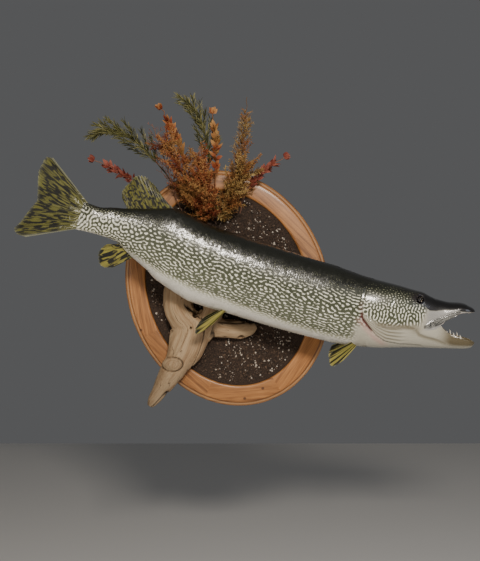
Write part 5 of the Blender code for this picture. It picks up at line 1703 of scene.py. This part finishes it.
# ---------------------------------------------------------------- driftwood
class Clearance:
    """Tells how far points lie outside the fish."""

    def __init__(self, skin: bpy.types.Mesh) -> None:
        self.tree = BVHTree.FromPolygons([v.co for v in skin.vertices],
                                         [p.vertices for p in skin.polygons])

    def outside(self, point: Array) -> tuple[float, Vector, Vector]:
        """Measures one point against the skin.

        Returns:
            The distance outside, the nearest place on the skin and the way out of it.
        """
        spot, way, _, _ = self.tree.find_nearest(Vector(point))
        return (Vector(point) - spot).dot(way), spot, way

    def clear(self, points: Array, gap: float) -> Array:
        """Whether each point lies at least that far outside."""
        return np.array([self.outside(p)[0] > gap for p in points], bool)


@dataclass(frozen=True)
class DriftwoodFinish:
    """Sun-bleached driftwood: silky grey-tan fibres, dark drying cracks and painted shade."""
    pale: str = "#B59C7B"
    tan: str = "#9C8060"
    brown: str = "#7C6046"
    # The colour of the cracks, and of the painted shade in the hollows and round the knot.
    crack_and_shade: str = "#21160E"

    def material(self) -> bpy.types.Material:
        """The fibres run along each limb by the numbers stored on the wood."""
        paint = Paint("bleached_driftwood", {"Roughness": 0.82, "IOR": 1.45})
        limb = paint.add("Attribute", attribute_name="Limb", out="Vector")
        # Cracks, together with painted shade in the hollows and the knot's moat.
        cracks = paint.add("Attribute", attribute_name="CrackAndShade", out="Fac")
        lines = paint.fibres(limb, (700.0, 22.0, 700.0), {"Detail": 3.0, "Roughness": 0.6})
        bands = paint.fibres(limb, (90.0, 9.0, 90.0), {"Detail": 2.0})
        mixed = paint.add("Mix", {0: 0.5, 2: lines, 3: bands})
        tone = paint.add("ValToRGB", {0: mixed}, stops=(
            (0.30, self.brown), (0.44, self.tan), (0.62, self.pale)))
        # Thin drying cracks, centimetres long, open where the slow noise crosses its middle.
        seams = paint.fibres(limb, (105.0, 9.0, 40.0), {"Detail": 1.0, "Distortion": 0.35})
        thin = paint.add("MapRange", {0: paint.winding(seams), 1: 0.004, 2: 0.014, 3: 1.0,
                                      4: 0.0})
        some = paint.add("MapRange", {0: bands, 1: 0.50, 2: 0.60, 3: 0.0, 4: 0.9})
        thin = paint.add("Math", {0: thin, 1: some}, operation="MULTIPLY")
        dark = paint.add("Math", {0: thin, 1: cracks}, operation="MAXIMUM")
        # The foot of the longest limb, whose run starts at 0, is painted darker as shade.
        run = paint.add("SeparateXYZ", {0: limb}, out="Y")
        foot = paint.add("MapRange", {0: run, 1: 0.03, 2: 0.15, 3: 0.70, 4: 1.0})
        tone = paint.add("HueSaturation", {"Color": tone, "Value": foot})
        return paint.finish(tone, ((dark, self.crack_and_shade),), (lines, 0.5, 0.0008))


@dataclass(frozen=True)
class DriftwoodSizes:
    """The limbs as the solid has them: x, z, distance from the wall, half width, half depth."""
    limbs: tuple = (
        ((-0.1782, -0.2700, 0.058, 0.006, 0.006), (-0.1700, -0.2570, 0.058, 0.0125, 0.013),
         (-0.1565, -0.2377, 0.058, 0.0170, 0.018), (-0.1385, -0.2092, 0.058, 0.0235, 0.024),
         (-0.1201, -0.1807, 0.057, 0.0290, 0.028), (-0.1043, -0.1523, 0.055, 0.0370, 0.029),
         (-0.0916, -0.1238, 0.053, 0.0420, 0.029), (-0.0850, -0.0953, 0.051, 0.0460, 0.028),
         (-0.1030, -0.0668, 0.050, 0.0340, 0.027), (-0.1150, -0.0383, 0.050, 0.0350, 0.027),
         (-0.1150, -0.0087, 0.051, 0.0320, 0.027), (-0.0950, 0.0278, 0.050, 0.0180, 0.020)),
        ((-0.0640, -0.1120, 0.050, 0.024, 0.022), (-0.0517, -0.0884, 0.050, 0.030, 0.024),
         (-0.0380, -0.0588, 0.050, 0.026, 0.024), (-0.0289, -0.0246, 0.050, 0.022, 0.024),
         (-0.0270, 0.0073, 0.050, 0.014, 0.018)),
        ((-0.0560, -0.0840, 0.045, 0.022, 0.020), (-0.0358, -0.0861, 0.046, 0.024, 0.020),
         (-0.0038, -0.0930, 0.045, 0.022, 0.018), (0.0258, -0.0953, 0.044, 0.021, 0.017),
         (0.0486, -0.0945, 0.043, 0.016, 0.014), (0.0645, -0.0873, 0.041, 0.007, 0.008)))
    knot: tuple = (-0.1250, -0.1720, 0.079, 0.021)
    # Rotten hollows beside the fork and a notch, painted dark as shade: x, z, radius and depth.
    hollows: Rows = ((-0.0675, -0.0475, 0.0120, 0.020), (-0.0735, -0.0610, 0.0070, 0.012),
                     (-0.0830, -0.0900, 0.0032, 0.007), (0.0310, -0.1165, 0.0095, 0.013))
    voxel: float = 0.0019
    foot: float = -0.2736
    back: float = 0.0304
    lift: float = 0.0042  # of the knot's plate, and the depth of the moat round it
    moat: float = 0.0030
    gap: float = 0.0012  # to the fish that lies on it
    seat: float = -0.13  # the lowest place of the wood that the fish touches
    seat_reach: float = 0.06


class Driftwood:
    """One piece of driftwood with three limbs, a knot plate and long cracks."""

    SIDES = 24
    ROUGHNESS = 0.14  # of a limb's radius
    APART = 0.7  # between the runs of two limbs, so that their grain differs
    STEM_FIRST = 0.12  # how much nearer the first limb counts, in half widths

    def __init__(self, sizes: DriftwoodSizes, room: Clearance) -> None:
        self.sizes, self.room = sizes, room

    def limb(self, build: bmesh.types.BMesh, stations: Rows, phase: float) -> Array:
        """Adds one closed limb.

        Args:
            build: where it is added.
            stations: its rows of sizes, from end to end.
            phase: shifts its lumps, so that limbs differ.

        Returns:
            Its line: each place, the direction, the side's direction and half the width.
        """
        fine = np.linspace(0, len(stations) - 1, len(stations) * 5)
        x, z, out, wide, deep = through(np.arange(len(stations)), np.array(stations), fine).T
        line = np.stack([x, -out, z], -1)
        along = unit(np.gradient(line, axis=0))
        across = unit(np.cross(along, np.array((0.0, 1.0, 0.0))))
        front = np.cross(across, along)
        verts, turn = [], math.tau / self.SIDES
        for k, middle in enumerate(line):
            for a in (turn * j for j in range(self.SIDES)):
                around = across[k] * math.cos(a) * wide[k] + front[k] * math.sin(a) * deep[k]
                lump = noise.noise(Vector(middle + around) * 30 + Vector((phase, 0, 0)))
                verts.append(build.verts.new(middle + around * (1 + self.ROUGHNESS * lump)))
        for face in tube_faces(len(line), self.SIDES):
            build.faces.new([verts[n] for n in face])
        return np.hstack([line, along, across, wide[:, None]])

    def fuse(self) -> tuple[bpy.types.Mesh, list[Array]]:
        """The limbs and the knot fused in one skin of small faces, and the limbs' lines."""
        sizes, build = self.sizes, bmesh.new()
        lines = [self.limb(build, stations, 4.0 * (k > 0) + max(k - 1, 0))
                 for k, stations in enumerate(sizes.limbs)]
        x, z, out, radius = sizes.knot
        shape = (Matrix.Translation((x, -out, z)) @ Matrix.Rotation(math.radians(20), 4, "Y")
                 @ Matrix.Diagonal((1.0, 0.45, 0.62, 1.0)))
        bmesh.ops.create_icosphere(build, subdivisions=4, radius=radius, matrix=shape)
        bmesh.ops.recalc_face_normals(build, faces=build.faces)
        rough = bpy.data.meshes.new("driftwood_rough")
        build.to_mesh(rough)
        build.free()
        holder = bpy.data.objects.new("driftwood_rough", rough)
        bpy.context.scene.collection.objects.link(holder)
        fuse = holder.modifiers.new("fuse", "REMESH")
        fuse.mode, fuse.voxel_size, fuse.use_smooth_shade = "VOXEL", sizes.voxel, True
        ready = bpy.data.meshes.new_from_object(
            holder.evaluated_get(bpy.context.evaluated_depsgraph_get()))
        bpy.data.objects.remove(holder)
        return ready, lines

    def follow(self, points: Array, lines: list[Array]) -> tuple[Array, Array]:
        """Finds the limb that each point belongs to.

        Args:
            points: the wood's points.
            lines: the limbs' lines, as limb() gives them.

        Returns:
            Where each lies beside, along and before its limb, and the limb's number.
        """
        every = np.concatenate(lines)
        runs = np.concatenate([along_line(line[:, :3]) + self.APART * k
                               for k, line in enumerate(lines)])
        limb = np.concatenate([np.full(len(line), k) for k, line in enumerate(lines)])
        gap = np.linalg.norm(points[:, None, :] - every[None, :, :3], axis=2)
        nearest = (gap / every[None, :, 9] + self.STEM_FIRST * (limb > 0)[None, :]).argmin(1)
        away, own = points - every[nearest, :3], every[nearest]
        run = runs[nearest] + (away * own[:, 3:6]).sum(1)
        return np.stack([(away * own[:, 6:9]).sum(1), run, away[:, 1]], -1), limb[nearest]

    def grain(self, places: Array, limb: Array) -> tuple[Array, Array]:
        """Draws the fibres and the cracks along them.

        Args:
            places: where points lie in their limbs.
            limb: the limbs' numbers.

        Returns:
            How high the wood stands at each, and how cracked it is.
        """
        table = []
        for (a, b, c), base in zip(places, 7.0 * limb):
            fibre = noise.noise(Vector((a * 260 + base, b * 14, c * 160)))
            ridge = noise.noise(Vector((a * 95 + base, b * 7.0, c * 60 + 3)))
            split = abs(noise.noise(Vector((a * 46 + base + 11, b * 4.2, c * 12 + 5))))
            where = noise.noise(Vector((a * 18 + base, b * 9, 8.0)))
            cut = max(0.0, 1 - split / 0.085) * max(0.0, min(1.0, (where + 0.18) * 6))
            table.append((0.0005 * fibre + 0.0018 * ridge - 0.0040 * cut, min(1.0, cut * 1.1)))
        return tuple(np.array(table).T)

    def carve(self, points: Array, normals: Array, depth: Array, crack_and_shade: Array
              ) -> tuple[Array, Array]:
        """Adds the knot and the hollows, with painted shade in the moat and the hollows.

        Args:
            points: the wood's points.
            normals: the ways out of it.
            depth: how high the wood stands at each.
            crack_and_shade: how cracked it is there.

        Returns:
            The new heights, and the cracks with painted shade in the moat and the hollows.
        """
        sizes = self.sizes
        x, y, z = points.T
        # The knot: a raised plate with rings round its eye and painted shade round it, most at
        # right.
        ring = np.hypot(x - sizes.knot[0], (z - sizes.knot[1]) / 0.66)
        plate = smooth(0.026, 0.018, ring) * (y < -0.070)
        ripple = np.sin(ring * 1150)
        moat = bump(ring - 0.0245, 0.0018) * (y < -0.066)
        depth = depth * (1 - 0.75 * plate) + plate * (sizes.lift + ripple * 0.00035)
        depth -= sizes.moat * moat
        crack_and_shade = np.maximum(crack_and_shade * (1 - plate), moat * np.where(x > sizes.knot[0], 0.85, 0.3))
        crack_and_shade = np.maximum(crack_and_shade, plate * 0.22 * (0.5 + 0.5 * ripple))
        # Each hollow is sunk and painted dark as shade.
        for hole_x, hole_z, radius, deep in sizes.hollows:
            pit = smooth(radius, radius * 0.45, np.hypot(x - hole_x, z - hole_z))
            pit = pit * (normals[:, 1] < -0.1)
            depth -= pit * deep
            crack_and_shade = np.maximum(crack_and_shade, pit)
        return depth, crack_and_shade

    def settle(self, points: Array) -> None:
        """Moves points out of the fish, off the ring and up to the foot's level, in place."""
        gap = self.sizes.gap
        for n, point in enumerate(points):
            if point[2] > self.sizes.seat:
                away, spot, way = self.room.outside(point)
                if away < gap and (Vector(point) - spot).length < self.sizes.seat_reach:
                    points[n] = spot + way * gap
        points[:, 1] = np.minimum(points[:, 1], -self.sizes.back)
        points[:, 2] = np.maximum(points[:, 2], self.sizes.foot)

    def build(self, finish: DriftwoodFinish) -> None:
        """Fuses the limbs, then cuts in the grain, the cracks and the knot's plate."""
        mesh, lines = self.fuse()
        points = np.array([v.co for v in mesh.vertices])
        normals = np.array([v.normal for v in mesh.vertices])
        places, limb = self.follow(points, lines)
        depth, crack_and_shade = self.carve(points, normals, *self.grain(places, limb))
        points = points + normals * depth[:, None]
        self.settle(points)
        made = add_piece("driftwood_limbs", points, [list(p.vertices) for p in mesh.polygons],
                         finish.material(), tidy=False, sharp=60,
                         replaces=("driftwood",))
        add_values(made, "Limb", places)
        add_values(made, "CrackAndShade", crack_and_shade)


# ---------------------------------------------------------------- dried plants
@dataclass(frozen=True)
class PlantFinish:
    """Dried and dyed foliage: matt, paler at its tips, with some sprays of another colour."""
    name: str
    stem: str
    deep: str
    middle: str
    tip: str
    other: str  # the colour of some sprays among the rest

    def material(self) -> bpy.types.Material:
        """Each leaf has its own tone, and pales along its length."""
        paint = Paint(self.name, {"Roughness": 0.75, "IOR": 1.4, "Subsurface Weight": 0.0})
        tone, height, stem, _ = paint.stored("Leaf")
        where = paint.add("TexCoord", out="Object")
        patch = paint.add("TexNoise", {"Vector": where, "Scale": 30.0, "Detail": 2.0})
        tone = paint.add("Mix", {0: 0.45, 2: tone, 3: patch})
        lift = paint.add("Math", {0: height, 1: 0.28, 2: -0.08}, operation="MULTIPLY_ADD")
        tone = paint.add("Math", {0: tone, 1: lift}, operation="ADD")
        tone = paint.add("ValToRGB", {0: tone}, stops=(
            (0.28, self.deep), (0.50, self.middle), (0.76, self.tip)))
        sprays = paint.add("TexNoise", {"Vector": where, "Scale": 17.0, "Detail": 1.0})
        share = paint.add("MapRange", {0: sprays, 1: 0.50, 2: 0.62, 3: 0.0, 4: 0.6})
        return paint.finish(tone, ((share, self.other), (stem, self.stem)))


class Habit(Enum):
    """How a plant grows."""
    FERN = "needles along arching shoots"
    SPIRE = "a dense tapering spike"
    SPRIG = "lobed leaves in clusters with a whorl at the tip"
    BUSH = "a crinkled mass of tiny leaves"
    TWIG = "bare wiry twigs with buds"


@dataclass(frozen=True)
class PlantSizes:
    """One plant: its stem's root, bend and tip as (x, z, distance from the wall)."""
    node: str
    line: Rows
    habit: Habit
    dye: str
    seed: int
    fullness: float = 1.0


@dataclass(frozen=True)
class Foliage:
    """The leaves of one kind of shoot: their spacing, reach, width and angle to the shoot."""
    spacing: float
    reach: tuple
    wide: float
    angle: float
    each: int = 3
    wild: float = 0.25  # how far each strays from its own direction
    thick: float = 0.0011


# A leaf's points across, along and out, in shares of its width, length and thickness.
BLADE = np.array(((0.0, 0.0, 0.0), (-0.5, 0.35, 0.1), (0.0, 0.35, 0.5), (0.5, 0.35, 0.1),
                  (0.0, 0.35, -0.35), (-0.34, 0.72, 0.0), (0.0, 0.72, 0.4), (0.34, 0.72, 0.0),
                  (0.0, 0.72, -0.3), (0.0, 1.0, 0.0)))
BLADE_FACES = ((0, 1, 2), (0, 2, 3), (0, 3, 4), (0, 4, 1), (1, 5, 6, 2), (2, 6, 7, 3),
               (3, 7, 8, 4), (4, 8, 5, 1), (5, 9, 6), (6, 9, 7), (7, 9, 8), (8, 9, 5))


class Plant:
    """A dried plant, with its stems as thin tubes and its leaves as small solid blades."""

    TALLEST = 0.4490
    GAP = 0.002  # from a leaf's tip to the fish
    LEAF_BACK, STEM_BACK = 0.031, 0.0235  # how close to the wall leaves and stems may be
    STEM_SIDES = 5
    SPIRAL = 2.4  # the turn from one side shoot to the next

    def __init__(self, sizes: PlantSizes, room: Clearance) -> None:
        self.sizes, self.room = sizes, room
        self.dice = np.random.default_rng(sizes.seed)
        self.turn = self.dice.uniform(0, math.tau)
        self.points, self.faces, self.facts, self.blades = [], [], [], []
        self.count = 0
        self.line = tuple(np.array((x, -out, z)) for x, z, out in sizes.line)

    def curve(self, line: tuple, t: Array) -> Array:
        """Points on the curve from a root to a tip drawn by a bend."""
        root, bend, tip = line
        t = np.asarray(t, float)[..., None]
        return root * (1 - t) ** 2 + bend * 2 * t * (1 - t) + tip * t ** 2

    def tube(self, line: tuple, thick: float, thin: float, steps: int) -> None:
        """Adds a five-sided stem.

        Args:
            line: its root, bend and tip.
            thick: its radius at the root.
            thin: its radius at the tip.
            steps: how many rings of points it has.
        """
        t = np.linspace(0, 1, steps)
        middle = self.curve(line, t)
        length = np.linalg.norm(middle[-1] - middle[0])
        middle[1:-1] += self.dice.normal(0, 0.006 * length, (steps - 2, 3))
        along = unit(np.gradient(middle, axis=0))
        across = unit(np.cross(along, np.array((0.05, 1.0, 0.02))))[:, None, :]
        front = np.cross(across, along[:, None, :])
        a = (np.arange(self.STEM_SIDES) * math.tau / self.STEM_SIDES)[None, :, None]
        ring = middle[:, None, :] + (across * np.cos(a) + front * np.sin(a)) * (
            thick + (thin - thick) * t)[:, None, None]
        self.faces += tube_faces(steps, self.STEM_SIDES, self.count)
        self.points.append(ring.reshape(-1, 3))
        self.facts += [(0.5, height, 1.0) for height in np.repeat(t, self.STEM_SIDES)]
        self.count += steps * self.STEM_SIDES

    def heading(self, line: tuple, t: float, step: float = 0.02, last: float = 1.02
                ) -> tuple[Array, Array]:
        """A place on a stem and the direction in which it goes on there."""
        foot = self.curve(line, t)
        return foot, unit(self.curve(line, min(t + step, last)) - foot)

    def spread(self, along: Array, angle: float, lean: float) -> Array:
        """A direction that leans off a stem by angle, at a turn round it."""
        side = unit(np.cross(along, np.array((0.0, 1.0, 0.0))))
        around = side * math.cos(lean) + np.cross(side, along) * math.sin(lean)
        return unit(along * math.cos(angle) + around * math.sin(angle))

    def leafy(self, line: tuple, leaves: Foliage, tone: float, start: float,
              end: float = 1.0) -> None:
        """Sets leaves along a shoot, several at each node.

        Args:
            line: the shoot's root, bend and tip.
            leaves: their kind.
            tone: how pale they are, from 0 to 1.
            start: the share of the shoot that is bare.
            end: the share where they end.
        """
        dice = self.dice
        size = np.linalg.norm(np.diff(np.array(line), axis=0), axis=1).sum()
        for t in np.linspace(start, end, max(2, int(size * (end - start) / leaves.spacing))):
            foot, along = self.heading(line, t, 0.01, 2.0)
            turn = dice.uniform(0, math.tau)
            for k in range(leaves.each):
                way = self.spread(along, leaves.angle * dice.uniform(0.6, 1.35),
                                  turn + math.tau * k / leaves.each)
                way = unit(way + dice.normal(0, leaves.wild, 3))
                short, long = leaves.reach
                reach = short + (long - short) * dice.uniform()
                wide = leaves.wide * dice.uniform(0.7, 1.25)
                curl = dice.normal(0.0, 0.22)
                shade = min(max(tone + dice.normal(0, 0.18), 0.0), 1.0)
                self.blades.append((foot, way, reach, wide, curl, shade, leaves.thick))

    def shoot(self, line: tuple, t: float, length: float, angle: float, lean: float,
              droop: float = 0.0) -> tuple:
        """Draws a side shoot.

        Args:
            line: the stem's root, bend and tip.
            t: the share of the stem where it leaves.
            length: how long it is.
            angle: how far it leans off the stem.
            lean: its turn round the stem.
            droop: how far its tip hangs.

        Returns:
            The shoot's root, bend and tip.
        """
        foot, along = self.heading(line, t)
        way = self.spread(along, angle, lean)
        bend = foot + way * length * 0.5
        return foot, bend, bend + unit(way * 0.7 + along * 0.5 + np.array(
            (0, 0, -droop))) * length * 0.5

    def steps(self, count: float, low: float, reach: float) -> list[tuple[int, float]]:
        """The numbers and places of side shoots on the stem, more on a fuller plant."""
        count = count * self.sizes.fullness
        return [(k, low + reach * k / count) for k in range(int(count))]

    def fern(self) -> None:
        """Needles along arching shoots."""
        self.tube(self.line, 0.0020, 0.0007, 26)
        self.leafy(self.line, Foliage(0.0034, (0.015, 0.023), 0.0021, 0.45, 3, 0.10), 0.50, 0.30)
        needles = Foliage(0.0042, (0.013, 0.020), 0.0020, 0.42, 3, 0.10)
        for k, t in self.steps(13, 0.32, 0.60):
            lean = (0.0 if k % 2 else math.pi) + self.dice.normal(0, 0.5)
            side = self.shoot(self.line, t, 0.058 * (1.12 - 0.75 * t), 0.62, lean)
            self.tube(side, 0.0009, 0.0004, 8)
            self.leafy(side, needles, 0.25 + 0.35 * t, 0.05)

    def spire(self) -> None:
        """A dense tapering spike."""
        self.tube(self.line, 0.0019, 0.0006, 26)
        leaves = Foliage(0.0030, (0.0050, 0.0110), 0.0013, 0.7, 3, 0.4)
        for k, t in self.steps(58, 0.30, 0.54):
            wide = 0.027 * min(1.0, 0.35 + 3.2 * (0.86 - t)) * self.dice.uniform(0.6, 1.2)
            side = self.shoot(self.line, t, wide, 0.95, self.turn + self.SPIRAL * k)
            self.tube(side, 0.0007, 0.0004, 5)
            self.leafy(side, leaves, 0.5, 0.15)

    def sprig(self) -> None:
        """Lobed leaves in clusters with a whorl at the tip."""
        dice = self.dice
        self.tube(self.line, 0.0019, 0.0009, 22)
        for low, reach, count, long, wide in ((0.40, 0.46, 34, 0.0215, 0.0090),
                                              (0.60, 0.26, 18, 0.0190, 0.0100)):
            for k, t in self.steps(count, low, reach):
                foot, along = self.heading(self.line, t)
                way = self.spread(along, dice.uniform(0.45, 0.95), self.turn + self.SPIRAL * k)
                self.blades.append((
                    foot, unit(way + dice.normal(0, 0.12, 3)), long * dice.uniform(0.7, 1.1),
                    wide * dice.uniform(0.7, 1.1), dice.normal(0.1, 0.25),
                    min(max(0.5 + dice.normal(0, 0.2), 0.0), 1.0), 0.0013))
        foot, along = self.heading(self.line, 0.985, last=1.0)
        for k in range(13):
            way = self.spread(along, dice.uniform(0.25, 0.95), self.turn + self.SPIRAL * k)
            self.blades.append((foot, way, dice.uniform(0.013, 0.0165),
                                dice.uniform(0.008, 0.0105), dice.normal(-0.25, 0.1),
                                dice.uniform(0.25, 0.7), 0.0014))

    def bush(self) -> None:
        """A crinkled mass of tiny leaves."""
        dice, leaves = self.dice, Foliage(0.0024, (0.0050, 0.0110), 0.0016, 0.8, 3, 0.5)
        self.tube(self.line, 0.0022, 0.0008, 18)
        for k, t in self.steps(72, 0.06, 0.92):
            side = self.shoot(self.line, t, dice.uniform(0.024, 0.056), dice.uniform(0.5, 1.35),
                              self.turn + self.SPIRAL * k, dice.uniform(-0.2, 0.35))
            self.tube(side, 0.0008, 0.0004, 7)
            self.leafy(side, leaves, dice.uniform(0.1, 0.9), 0.1)

    def twig(self) -> None:
        """Bare wiry twigs with buds."""
        dice, buds = self.dice, Foliage(0.004, (0.002, 0.004), 0.0016, 0.6, 1)
        self.tube(self.line, 0.0013, 0.0006, 20)
        for k, t in self.steps(26, 0.25, 0.70):
            side = self.shoot(self.line, t, dice.uniform(0.022, 0.046), dice.uniform(0.5, 1.1),
                              self.turn + self.SPIRAL * k, dice.uniform(-0.5, 0.5))
            self.tube(side, 0.0007, 0.0004, 9)
            for _ in range(3):
                small = self.shoot(side, dice.uniform(0.3, 0.9), dice.uniform(0.008, 0.018),
                                   0.9, dice.uniform(0, math.tau), dice.uniform(-0.6, 0.6))
                self.tube(small, 0.0005, 0.0003, 5)
                self.leafy(small, buds, 0.6, 0.6)

    def grow(self) -> None:
        """Grows the plant by its habit."""
        habits = {Habit.FERN: self.fern, Habit.SPIRE: self.spire, Habit.SPRIG: self.sprig,
                  Habit.BUSH: self.bush, Habit.TWIG: self.twig}
        habits[self.sizes.habit]()

    def build(self, finish: bpy.types.Material) -> None:
        """Grows the plant, drops leaves that would enter the fish, and makes one piece."""
        self.grow()
        columns = [np.array(column) for column in zip(*self.blades)]
        tip = columns[0] + columns[1] * columns[2][:, None]
        keep = (self.room.clear(tip, self.GAP) & (columns[0][:, 1] < -self.LEAF_BACK)
                & (tip[:, 2] < self.TALLEST))
        foot, way, long, wide, curl, tone, thick = (
            v[keep].reshape(int(keep.sum()), 1, -1) for v in columns)
        roll = self.dice.normal(0, 0.7, len(foot))[:, None, None]
        side = unit(np.cross(way, np.array((0.03, 1.0, 0.05))))
        top = np.cross(side, way)
        side, top = (side * np.cos(roll) + top * np.sin(roll),
                     top * np.cos(roll) - side * np.sin(roll))
        x, y, z = (BLADE[None, :, k, None] for k in range(3))
        leaves, leaf_faces = join_copies(BLADE_FACES, foot + side * x * wide + way * y * long
                                         + top * (z * thick + curl * y * y * long))
        stems = np.concatenate(self.points)
        stems[:, 1] = np.minimum(stems[:, 1], -self.STEM_BACK)
        faces = self.faces + [[v + len(stems) for v in face] for face in leaf_faces]
        made = add_piece(f"{self.sizes.node}_foliage", np.concatenate([stems, leaves]), faces,
                         finish, sharp=45, replaces=(self.sizes.node,))
        facts = np.stack(np.broadcast_arrays(tone[..., 0], BLADE[None, :, 1], 0.0), -1)
        add_values(made, "Leaf", np.concatenate([np.array(self.facts), facts.reshape(-1, 3)]))


class Garden:
    """All the dried plants over the fish."""

    DYES = {
        "green_plant": PlantFinish("dried_olive_fern", "#3E3A20", "#16170A", "#3A3C1B", "#8C8656",
                                   "#5C5A2C"),
        "rust_plant": PlantFinish("dyed_rust_foliage", "#7A4E2C", "#521509", "#843C1B", "#AC7C4A",
                                  "#987640"),
        "red_plant": PlantFinish("dyed_red_foliage", "#7E5A48", "#3A1411", "#702E22", "#9A5A4A",
                                 "#844630"),
        "tan_plant": PlantFinish("dried_tan_foliage", "#64492C", "#3E2811", "#84602C", "#B0935A",
                                 "#8A4A22"),
    }
    PLANTS = (
        PlantSizes("fern_left", ((-0.082, 0.168, 0.022), (-0.213, 0.402, 0.116),
                                 (-0.312, 0.348, 0.070)), Habit.FERN, "green_plant", 31, 1.3),
        PlantSizes("fern_top", ((-0.054, 0.172, 0.022), (-0.016, 0.376, 0.082),
                                (-0.109, 0.435, 0.060)), Habit.FERN, "green_plant", 32),
        PlantSizes("spire_right", ((0.010, 0.172, 0.022), (0.035, 0.318, 0.088),
                                   (0.044, 0.437, 0.058)), Habit.SPIRE, "tan_plant", 33),
        PlantSizes("sprig_red_left", ((-0.098, 0.160, 0.022), (-0.196, 0.246, 0.100),
                                      (-0.302, 0.288, 0.094)), Habit.SPRIG, "red_plant", 34),
        PlantSizes("sprig_red_right", ((0.026, 0.168, 0.022), (0.038, 0.250, 0.084),
                                       (0.131, 0.300, 0.060)), Habit.SPRIG, "red_plant", 35),
        PlantSizes("sprig_rust_left", ((-0.068, 0.174, 0.022), (-0.091, 0.315, 0.070),
                                       (-0.153, 0.408, 0.076)), Habit.SPRIG, "rust_plant", 36),
        PlantSizes("sprig_rust_top", ((-0.036, 0.160, 0.022), (-0.018, 0.288, 0.122),
                                      (-0.033, 0.397, 0.084)), Habit.SPRIG, "rust_plant", 37),
        PlantSizes("bush_left", ((-0.068, 0.154, 0.022), (-0.092, 0.256, 0.104),
                                 (-0.141, 0.329, 0.094)), Habit.BUSH, "rust_plant", 38),
        PlantSizes("bush_middle", ((-0.050, 0.150, 0.022), (-0.048, 0.205, 0.126),
                                   (-0.061, 0.287, 0.108)), Habit.BUSH, "rust_plant", 39, 1.2),
        PlantSizes("bush_right", ((-0.012, 0.150, 0.022), (0.001, 0.212, 0.090),
                                  (0.042, 0.275, 0.088)), Habit.BUSH, "tan_plant", 40, 1.35),
        PlantSizes("twig_pink", ((-0.106, 0.172, 0.022), (-0.137, 0.271, 0.100),
                                 (-0.166, 0.359, 0.062)), Habit.TWIG, "red_plant", 41),
    )

    def build(self, room: Clearance) -> None:
        """Grows every plant in its own dye."""
        dyed = {slot: dye.material() for slot, dye in self.DYES.items()}
        for sizes in self.PLANTS:
            Plant(sizes, room).build(dyed[sizes.dye])


@dataclass(frozen=True)
class Studio:
    """The floor, the lamps and the camera."""
    view: tuple = (0.02806, -2.0, 0.01754)
    lens: float = 54.5
    floor: float = -0.75
    aim: tuple = (0.0, -0.1, 0.0)
    air: str = "#B9BABC"
    glow: float = 0.20
    # Each lamp's name, place, width, depth, power and colour.
    lamps: tuple = (("front_softbox", (0.28, -2.2, 0.85), 0.5, 0.3, 43.0, "#FFF6EA"),
                    ("left_fill", (-1.3, -1.9, -0.1), 0.8, 0.8, 8.0, "#FFF6EA"),
                    ("side_fill", (1.7, -1.4, 0.3), 0.9, 0.9, 6.0, "#EEF2FF"))

    def place(self, name: str, data: bpy.types.ID) -> bpy.types.Object:
        """Puts an object with this data in the scene."""
        made = bpy.data.objects.new(name, data)
        bpy.context.scene.collection.objects.link(made)
        return made

    def lay_floor(self) -> None:
        """Lays a matt floor under the mount."""
        build = bmesh.new()
        bmesh.ops.create_grid(build, x_segments=1, y_segments=1, size=3.0,
                              matrix=Matrix.Translation((0, -1.0, self.floor)))
        mesh = bpy.data.meshes.new("floor")
        build.to_mesh(mesh)
        build.free()
        mesh.materials.append(Paint("matt_floor_paint", {
            "Base Color": linear("#D9D8D5"), "Roughness": 0.8}).made)
        self.place("floor", mesh)

    def build(self) -> None:
        """Lights the mount softly from the front and from both sides."""
        scene = bpy.context.scene
        scene.world = bpy.data.worlds.new("studio_air")
        scene.world.use_nodes = True
        shade = scene.world.node_tree.nodes["Background"]
        shade.inputs[0].default_value = linear(self.air)
        shade.inputs[1].default_value = self.glow
        self.lay_floor()
        for name, place, wide, deep, power, colour in self.lamps:
            light = bpy.data.lights.new(name, "AREA")
            light.shape = "RECTANGLE"
            light.size, light.size_y = wide, deep
            light.energy = power
            light.color = linear(colour)[:3]
            lamp = self.place(name, light)
            lamp.location = place
            way = Vector(self.aim) - Vector(place)
            lamp.rotation_euler = way.to_track_quat("-Z", "Y").to_euler()
        camera = self.place("camera", bpy.data.cameras.new("camera"))
        camera.data.lens = self.lens
        camera.location = self.view
        camera.rotation_euler = (math.pi / 2, 0, 0)
        scene.camera = camera


def main() -> None:
    """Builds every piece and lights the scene."""
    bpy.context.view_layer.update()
    pike = Pike(PikeSizes())
    marks = Markings(MarkingSizes(), pike)
    skin = Skin(pike, marks, FaceSizes())
    skin.build()
    paint = SkinFinish().material()
    skin.finish(paint)
    for side in SIDES:
        ScaleCoat(skin, ScaleSizes(), side).build(paint)
    for side in SIDES:
        GlassEye(pike, side).build(EyeFinish())
    mouth = Mouth(pike, MouthSizes())
    mouth.teeth(MouthFinish())
    mouth.tongue(MouthFinish())
    Fins(pike, FinSizes()).build()
    plaque, wood = Plaque(PlaqueSizes()), WoodFinish()
    plaque.panel(wood)
    plaque.rim(wood)
    plaque.soil()
    room = Clearance(bpy.data.objects["pike_skin"].data)
    Driftwood(DriftwoodSizes(), room).build(DriftwoodFinish())
    Garden().build(room)
    Studio().build()


if __name__ == "__main__":
    main()
